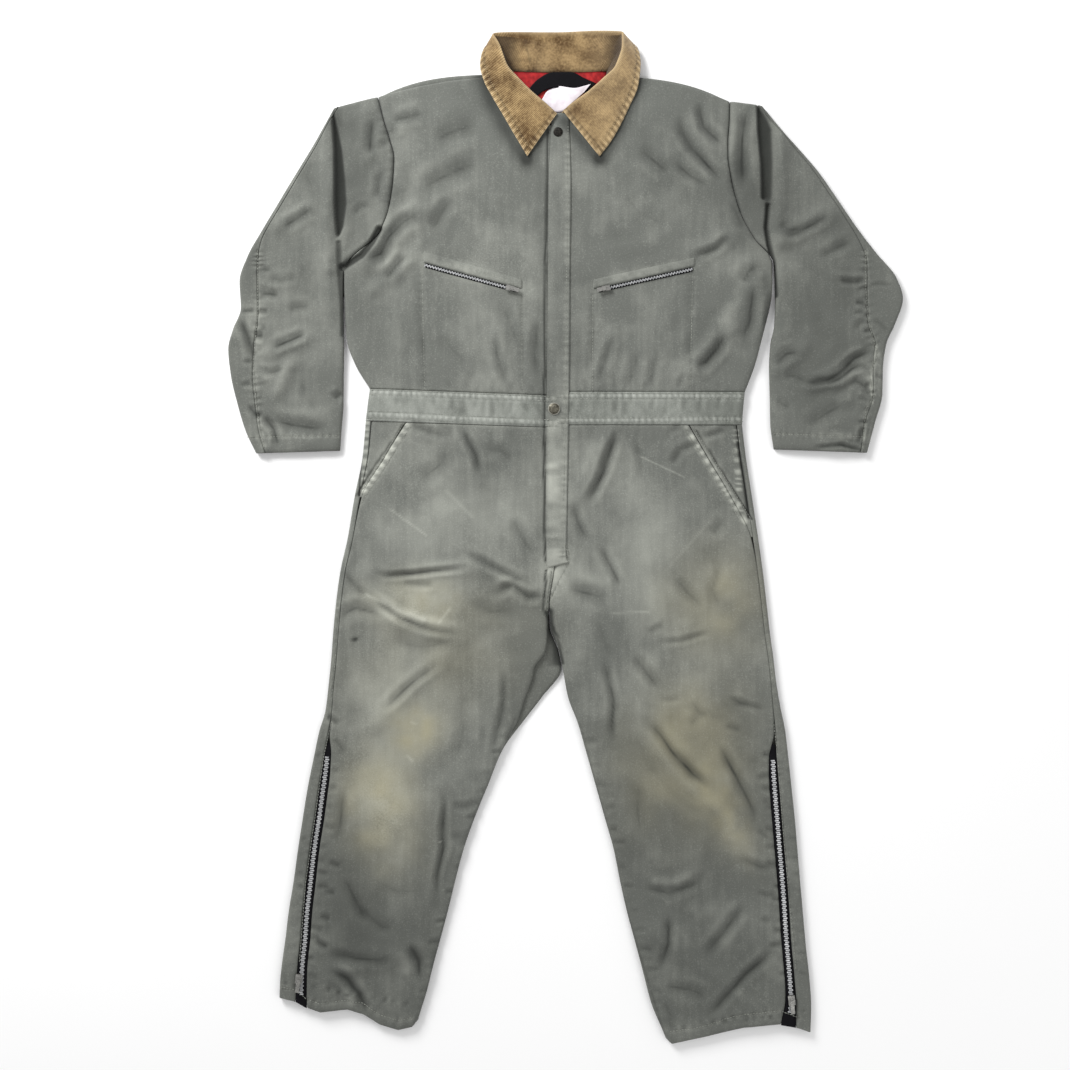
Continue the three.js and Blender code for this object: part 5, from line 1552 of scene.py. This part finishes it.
# Inside the crotch the back of the right leg reaches on to the left one, in the dark between them
crotchReach = {6: 1.2, 7: 7.0, 8: 6.0}
backRight = [dict(row) for row in rightLeg]
for number, reach in crotchReach.items():
    backRight[number]["ix"] += reach
    backRight[number]["inset"] += reach
wraps = [
    ("backLegRightCloth", backRight, "back_leg_right"),
    ("backLegLeftCloth", leftLeg, "back_leg_left"),
    ("underSleeveRightCloth", rightSleeve, "under_sleeve_right"),
    ("underSleeveLeftCloth", leftSleeve, "under_sleeve_left"),
]
for name, table, node in wraps:
    shellPiece(name, wrapPoints(table), [node])
print("legs and sleeves lie")


backSteps = dict(along=8.0, across=12.0)


# Flat back of the body: seen only in the neck and at the sides
def backPoints(table, bowPower):
    rows, walked, widths = panelRows(table, backSteps["along"])
    shares = fineSpread(float(widths.mean()), backSteps["across"])
    x, y = acrossRows(rows, shares, bowPower)
    z = roundedEdges(np.full_like(x, cloth["wall"]), walked, shares, widths, sewnEdges)
    return rimmed(np.stack([x, y, z], axis=-1), 0.0)


# The back runs on a little under the right arm, so that the gap there is closed
underArm = dict(reach=14, low=380, high=480)
for row in backBody:
    if underArm["low"] < row["ly"] < underArm["high"]:
        row["lx"] -= underArm["reach"]
shellPiece("backBodiceCloth", backPoints(backBody, 4), ["back_bodice"])
shellPiece("backBandCloth", backPoints(backBand, 2), ["back_waistband"], bandLook)
facing = dict(lift=-1.5, drop=cloth["wall"] - 1.5, margin=0.02)
for side, table, end in (("Right", rightLeg, 2), ("Left", leftLeg, 3)):
    points = slotPoints(table, 0, end, facing["lift"], facing["drop"], facing["margin"])
    shellPiece("pocketFacing" + side + "Cloth", points, ["pocket_facing_" + side.lower()])
placketLift = cloth["bandRise"] + cloth["seam"] + cloth["trimWall"]
placketPoints = panelPoints(placket, placketLift, cloth["trimWall"] + 1.0, frontEdges["right"])
shellPiece("flyPlacketCloth", placketPoints, ["fly_placket"])
weltLift = cloth["trimLift"] + cloth["trimWall"]
weltStep = 1.6
for side, table in (("Right", rightWelt), ("Left", leftWelt)):
    points = panelPoints(table, weltLift, cloth["trimWall"] + 0.6, sewnEdges, weltStep)
    shellPiece("chestWelt" + side + "Cloth", points, ["chest_welt_" + side.lower()])
print("back, facings and welts lie")

collar = dict(
    rows=230,
    columns=34,
    foldColumns=7,
    standRound=dict(share=0.4, reach=3, sink=2.2),
    fallRound=dict(share=0.2, reach=4, sink=0.2),
    stitchIn=9,
    wavePitch=9.5,
    seamLine=(-63, 756, -54, 712),
)


# Neck seam up to the fold and down to the outer edge, as two faces of one cloth
def collarLine(place, count):
    at = {key: sampled(collarSections, key, place) for key in collarSections[0]}
    neck = np.array([at["nx"], at["ny"], at["nz"]])
    fold = np.array([at["fx"], at["fy"], at["fz"]])
    edge = np.array([at["ox"], at["oy"], at["oz"]])
    rounds = []
    for target, turn in ((neck, collar["standRound"]), (edge, collar["fallRound"])):
        rounds.append(lerp(fold, target, min(turn["share"], turn["reach"] / np.linalg.norm(fold - target))))
        rounds[-1][2] -= turn["sink"]
    standEnd, fallStart = rounds
    knots = [neck, lerp(neck, standEnd, 0.5), standEnd, fold, fallStart]
    knots += [lerp(fallStart, edge, share) for share in (0.35, 0.7, 1.0)]
    knots = np.array(knots)
    run = np.concatenate([[0], np.cumsum(np.linalg.norm(np.diff(knots, axis=0), axis=1))])
    stand = np.linspace(0, run[2], count // 3)
    overFold = np.linspace(run[2], run[4], collar["foldColumns"])[1:-1]
    fall = np.linspace(run[4], run[-1], count - count // 3)
    along = np.concatenate([stand, overFold, fall])
    line = np.stack([np.interp(along, run, knots[:, axis]) for axis in range(3)], axis=-1)
    return line, along, run[3]


def collarPiece():
    lines = []
    runs = []
    foldRuns = []
    for place in np.linspace(0, len(collarSections) - 1, collar["rows"]):
        line, along, foldRun = collarLine(place, collar["columns"])
        lines.append(line)
        runs.append(along)
        foldRuns.append(foldRun)
    line = np.array(lines)
    run = np.array(runs)
    foldRun = np.array(foldRuns)[:, None]
    along = np.gradient(line, axis=0)
    across = np.gradient(line, axis=1)
    normal = np.cross(along, across)
    normal /= np.linalg.norm(normal, axis=2)[..., None]
    edgeSteps = np.linalg.norm(np.diff(line[:, -1], axis=0), axis=1)
    edgeRun = np.concatenate([[0], np.cumsum(edgeSteps)])

    # Rows of stitches near the edges, with waves beyond them
    fromEdge = run[:, -1:] - run
    fromEnds = np.minimum(edgeRun, edgeRun[-1] - edgeRun)[:, None] + 0 * run
    stitch = np.minimum(np.abs(fromEdge - collar["stitchIn"]), np.abs(fromEnds - collar["stitchIn"]))
    wavePlace = np.where(fromEnds < fromEdge, run, edgeRun[:, None])
    phase = 2 * math.pi * wavePlace / collar["wavePitch"]
    wave = np.sin(phase + 2 * wander(wavePlace, wavePlace * 0, 24, 5))
    near = bell(np.minimum(fromEdge, fromEnds), 11)
    lumps = 1.0 * wave * near - 1.0 * bell(stitch, 1.8)
    lumps = lumps + 0.35 * wander(line[..., 0], line[..., 1], 14, 8)
    roundEdge = np.clip(fromEdge / 1.2, 0.25, 1) * np.clip(fromEnds / 1.2, 0.25, 1)
    half = cloth["collarWall"] / 2
    sign = np.sign(normal[:, -6, 2]).mean()
    outer = line + normal * sign * (half * roundEdge + np.where(fromEdge < 1, 0, lumps))[..., None]
    inner = line - normal * sign * (half * roundEdge)[..., None]

    # Rubbed pale on edges and fold, pale on the wave crests and dark in their troughs, paler towards the
    # right end; dark in the stitches and on the stand's seam line, and painted shade at the foot of the stand
    # and in its corners
    rub = 0.8 * bell(fromEdge, 2.2) + 0.8 * bell(fromEnds, 2.2)
    rub = rub + 0.7 * near * np.clip(wave, 0, 1) + 0.5 * bell(run - foldRun, 4)
    rub = rub + 0.22 * smoothStep((line[..., 0] - 10) / 50)
    stand = (run < foldRun - 3)
    dark = 0.6 * bell(stitch, 1.5) + 0.55 * near * np.clip(-wave, 0, 1) + 0.35 * bell(run, 6) * stand
    seamAway = nearLine(line[..., 0], line[..., 1], *collar["seamLine"])[0]
    dark = dark + 0.55 * stand * bell(seamAway, 1.4)
    # Painted shade in the inner corners of the stand
    dark = dark + 0.95 * stand * smoothStep((np.abs(line[..., 0] + 6) - 52) / 30)
    surfaceMarks = dict(ribs=edgeRun[:, None] + 0 * run, pale=np.clip(rub, 0, 1), dark=np.clip(dark, 0, 1))
    surfaceMarks = {key: np.concatenate([values, values[:, ::-1]], axis=1) for key, values in surfaceMarks.items()}
    piece = gridPiece("collarCloth", np.concatenate([outer, inner[:, ::-1]], axis=1), surfaceMarks, looped=True)
    piece.data.materials.append(collarLook)
    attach(piece, "suit")
    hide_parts("collar")
    area = float(np.linalg.norm(np.cross(along, across), axis=2).sum()) * mm * mm
    stitches = []
    for row in range(4, collar["rows"] - 4, 2):
        column = int(np.argmin(np.abs(fromEdge[row] - collar["stitchIn"])))
        stitches.append((outer[row, column], outer[row + 1, column]))
    return stitches


collarStitches = collarPiece()
print("collar is folded")


# Small box pieces joined into one mesh: a centre and three half axes for each
def boxesPiece(name, boxes, look, nodes=()):
    corners = np.array([(i, j, k) for i in (-1, 1) for j in (-1, 1) for k in (-1, 1)], dtype=float)
    faces = np.array([(0, 1, 3, 2), (4, 6, 7, 5), (0, 4, 5, 1), (2, 3, 7, 6), (0, 2, 6, 4), (1, 5, 7, 3)])
    centres = np.array([box[0] for box in boxes])
    axes = np.array([[box[1], box[2], box[3]] for box in boxes])
    points = centres[:, None, :] + np.einsum("ca,nad->ncd", corners, axes)
    points[..., 0] += shift["x"]
    points[..., 1] += shift["y"]
    quads = (faces[None] + 8 * np.arange(len(boxes))[:, None, None]).reshape(-1, 4)
    mesh = bpy.data.meshes.new(name)
    mesh.from_pydata((points.reshape(-1, 3) * mm).tolist(), [], quads.tolist())
    mesh.materials.append(look)
    piece = bpy.data.objects.new(name, mesh)
    bpy.context.scene.collection.objects.link(piece)
    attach(piece, "suit")
    if nodes:
        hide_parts(*nodes)
    return piece


def boxAlong(start, end, halfWidth, halfHeight):
    start = np.asarray(start, dtype=float)
    end = np.asarray(end, dtype=float)
    along = (end - start) / 2
    side = np.cross((0, 0, 1.0), along)
    side = side / np.linalg.norm(side) * halfWidth
    return ((start + end) / 2, along, side, np.array((0, 0, halfHeight)))


liningTop = 2 * cloth["seam"] + cloth["wall"] + 1.0


# Neck: red lining, black hanger loop and a blank label with its loose end raised
def neckPanel(name, table, height, thickness, node, look, step=2.0):
    rows, _, widths = panelRows(table, step)
    x, y = acrossRows(rows, np.linspace(0, 1, max(9, int(widths.mean() / step))))
    z = height(x, y)
    points = rimmed(np.stack([x, y, z], axis=-1), np.pad(z - thickness, 1, mode="edge"))
    return clothPiece(name, points, [node], look, rests=("backBodiceCloth",))


def liningHeight(x, y):
    return liningTop - cloth["seam"] + 0.5 * wander(x, y, 12, 40) + 0.3 * wander(x, y, 5, 41) - 0.2


def loopHeight(x, y):
    return liningTop + 1.2 + 1.4 * np.maximum(0, 1 - ((x + 8) / 44) ** 2)


def labelHeight(x, y):
    flap = np.minimum(2.9, np.maximum(0, (x + 22) / 10))
    ridge = 1.5 * bell(x + 20 - 0.3 * (y - 640), 4)
    dip = 1.1 * bell(x - 12 - 0.5 * (y - 640), 3)
    return liningTop + 0.9 + flap + 0.5 * (ridge - dip) + 0.3 * wander(x, y, 9, 44)


neckPanel("neckLiningCloth", lining, liningHeight, 1.0, "neck_lining", liningLook)
neckPanel("hangerLoopCloth", loopBand, loopHeight, 1.2, "hanger_loop", tapeLook)
neckPanel("neckLabelCloth", labelRows, labelHeight, 0.6, "neck_label", labelLook)
print("neck is dressed")


toothShape = dict(out=1.2, share=0.34, halfHeight=0.7)


# Zips: a dark tape with two rows of small teeth
def zipTeeth(name, line, pitch, halfLength, lift, nodes):
    boxes = []
    run = runAlong(line)
    for number in range(int(run[-1] / pitch)):
        at = (number + 0.5) * pitch
        x = float(np.interp(at, run, line[:, 0]))
        y = float(np.interp(at, run, line[:, 1]))
        ahead = min(run[-1], at + 1)
        dx = float(np.interp(ahead, run, line[:, 0])) - x
        dy = float(np.interp(ahead, run, line[:, 1])) - y
        size = math.hypot(dx, dy)
        if size < 0.2:
            continue
        forward = np.array((dx / size, dy / size, 0))
        across = np.array((-dy / size, dx / size, 0))
        side = across * (0.5 if number % 2 else -0.5)
        z = float(edgeHeight + loft(np.array([x]), np.array([y]))[0]) + lift
        centre = np.array((x, y, z)) + side * toothShape["out"]
        up = np.array((0, 0, toothShape["halfHeight"]))
        boxes.append((centre, forward * pitch * toothShape["share"], across * halfLength, up))
    boxesPiece(name, boxes, teethLook, nodes)


def slotLine(table, start, end):
    rows = tubeRows(table, start, end, 3.0, False)[0]
    middle = rows["length"] - rows["wrap"] - (rows["slot"] + cloth["seam"]) / 2
    x, y = atReach(rows, middle[:, None])
    return np.stack([x[:, 0], y[:, 0]], axis=-1)


legZip = dict(start=10.5, end=20, chainStart=11, chainEnd=19.5, lift=-1.6, drop=3.4, margin=0.03, step=1.8)
legTeeth = dict(pitch=3.0, halfLength=2.8, lift=-0.7)
for side, table in (("Right", rightLeg), ("Left", leftLeg)):
    points = slotPoints(table, legZip["start"], legZip["end"], legZip["lift"], legZip["drop"],
                        legZip["margin"], legZip["step"])
    clothPiece("legZip" + side + "Tape", points, ["leg_zip_tape_" + side.lower()], tapeLook,
               rests=("backLeg" + side + "Cloth",))
    line = slotLine(table, legZip["chainStart"], legZip["chainEnd"])
    zipTeeth("legZip" + side + "Teeth", line, nodes=["leg_zip_chain_" + side.lower()], **legTeeth)

chestZip = dict(lift=0.7, drop=1.2, step=1.6)
chestTeeth = dict(pitch=2.2, halfLength=1.5, lift=cloth["trimLift"] + 1.1)
for side, table in (("Right", rightSlit), ("Left", leftSlit)):
    points = panelPoints(table, cloth["trimLift"] + chestZip["lift"], chestZip["drop"], sewnEdges,
                         chestZip["step"])
    clothPiece("chestZip" + side + "Tape", points, ["chest_zip_" + side.lower()], tapeLook,
               rests=("frontBodice" + side + "Cloth",))
    line = np.array([(lerp(row["lx"], row["rx"], 0.5), lerp(row["ly"], row["ry"], 0.5)) for row in table])
    zipTeeth("chestZip" + side + "Teeth", line, nodes=[], **chestTeeth)
print("zips are closed")


# Height of the band and of the front strip's edges, for the stitches that lie on them
bandSpan = dict(low=172, high=222)
stripSpan = dict(low=-36, high=620, rows=[-40, 190, 620], left=[-31, -31, -25.5], right=[4.5, 3, 9])


# Top of whatever lies at a point of the front
def surfaceHeight(x, y):
    lift = np.where((y < bandSpan["high"]) & (y > bandSpan["low"]), cloth["bandRise"], 0.0)
    left = np.interp(y, stripSpan["rows"], stripSpan["left"])
    right = np.interp(y, stripSpan["rows"], stripSpan["right"])
    beside = (x > left + 1) & (x < right - 1)
    lift = np.where(beside & (y > stripSpan["low"]) & (y < stripSpan["high"]), placketLift, lift)
    return edgeHeight + loft(x, y) + lift


stitch = dict(pitch=4.4, length=3.0, rise=0.12, halfWidth=0.42, halfHeight=0.28)


# Stitches along every seam that shows them
def seamStitches():
    boxes = []
    for seam in seams:
        if seam.get("plain"):
            continue
        points = np.array(seam["points"], dtype=float)
        run = runAlong(points)
        starts = np.arange(1, run[-1] - stitch["length"], stitch["pitch"])
        ends = []
        for at in (starts, starts + stitch["length"]):
            x = np.interp(at, run, points[:, 0])
            y = np.interp(at, run, points[:, 1])
            ends.append(np.stack([x, y, surfaceHeight(x, y) + stitch["rise"]], axis=-1))
        for start, end in zip(*ends):
            boxes.append(boxAlong(start, end, stitch["halfWidth"], stitch["halfHeight"]))
    return boxes


boxesPiece("shellStitches", seamStitches(), threadLook)
collarStitch = dict(share=0.7, halfWidth=0.4, halfHeight=0.3)
collarBoxes = []
for start, end in collarStitches:
    end = lerp(start, end, collarStitch["share"])
    collarBoxes.append(boxAlong(start, end, collarStitch["halfWidth"], collarStitch["halfHeight"]))
boxesPiece("collarStitches", collarBoxes, tanThreadLook)
print("stitches are sewn")

# Hard pieces keep their own solids and get worn metal
hardLooks = {"waist_snap_cap": capLook, "waist_snap_rim": rimLook, "neck_snap_cap": darkLook}
for kind in ("chest", "leg"):
    for hard in ("slider", "pull"):
        for side in ("right", "left"):
            hardLooks[kind + "_" + hard + "_" + side] = pullLook
for name, look in hardLooks.items():
    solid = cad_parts[name]
    for slot in solid.material_slots:
        slot.material = look

# Pale floor under the suit
floorMesh = bpy.data.meshes.new("floor")
floorHalf = 6.0
corners = [(-floorHalf, -floorHalf, 0), (floorHalf, -floorHalf, 0), (floorHalf, floorHalf, 0)]
corners.append((-floorHalf, floorHalf, 0))
floorMesh.from_pydata(corners, [], [(0, 1, 2, 3)])
floor = bpy.data.objects.new("floor", floorMesh)
floor.location = (0, 0, -0.0004)
floorLook = Look("paleFloor", roughness=0.95)
cloudy = floorLook.noise(floorLook.place(), 3.0)
floorLook.paint(floorLook.blend(cloudy, (0.93, 0.93, 0.93, 1), (0.95, 0.95, 0.95, 1)))
floorMesh.materials.append(floorLook.material)
bpy.context.scene.collection.objects.link(floor)

print("suit is dressed")
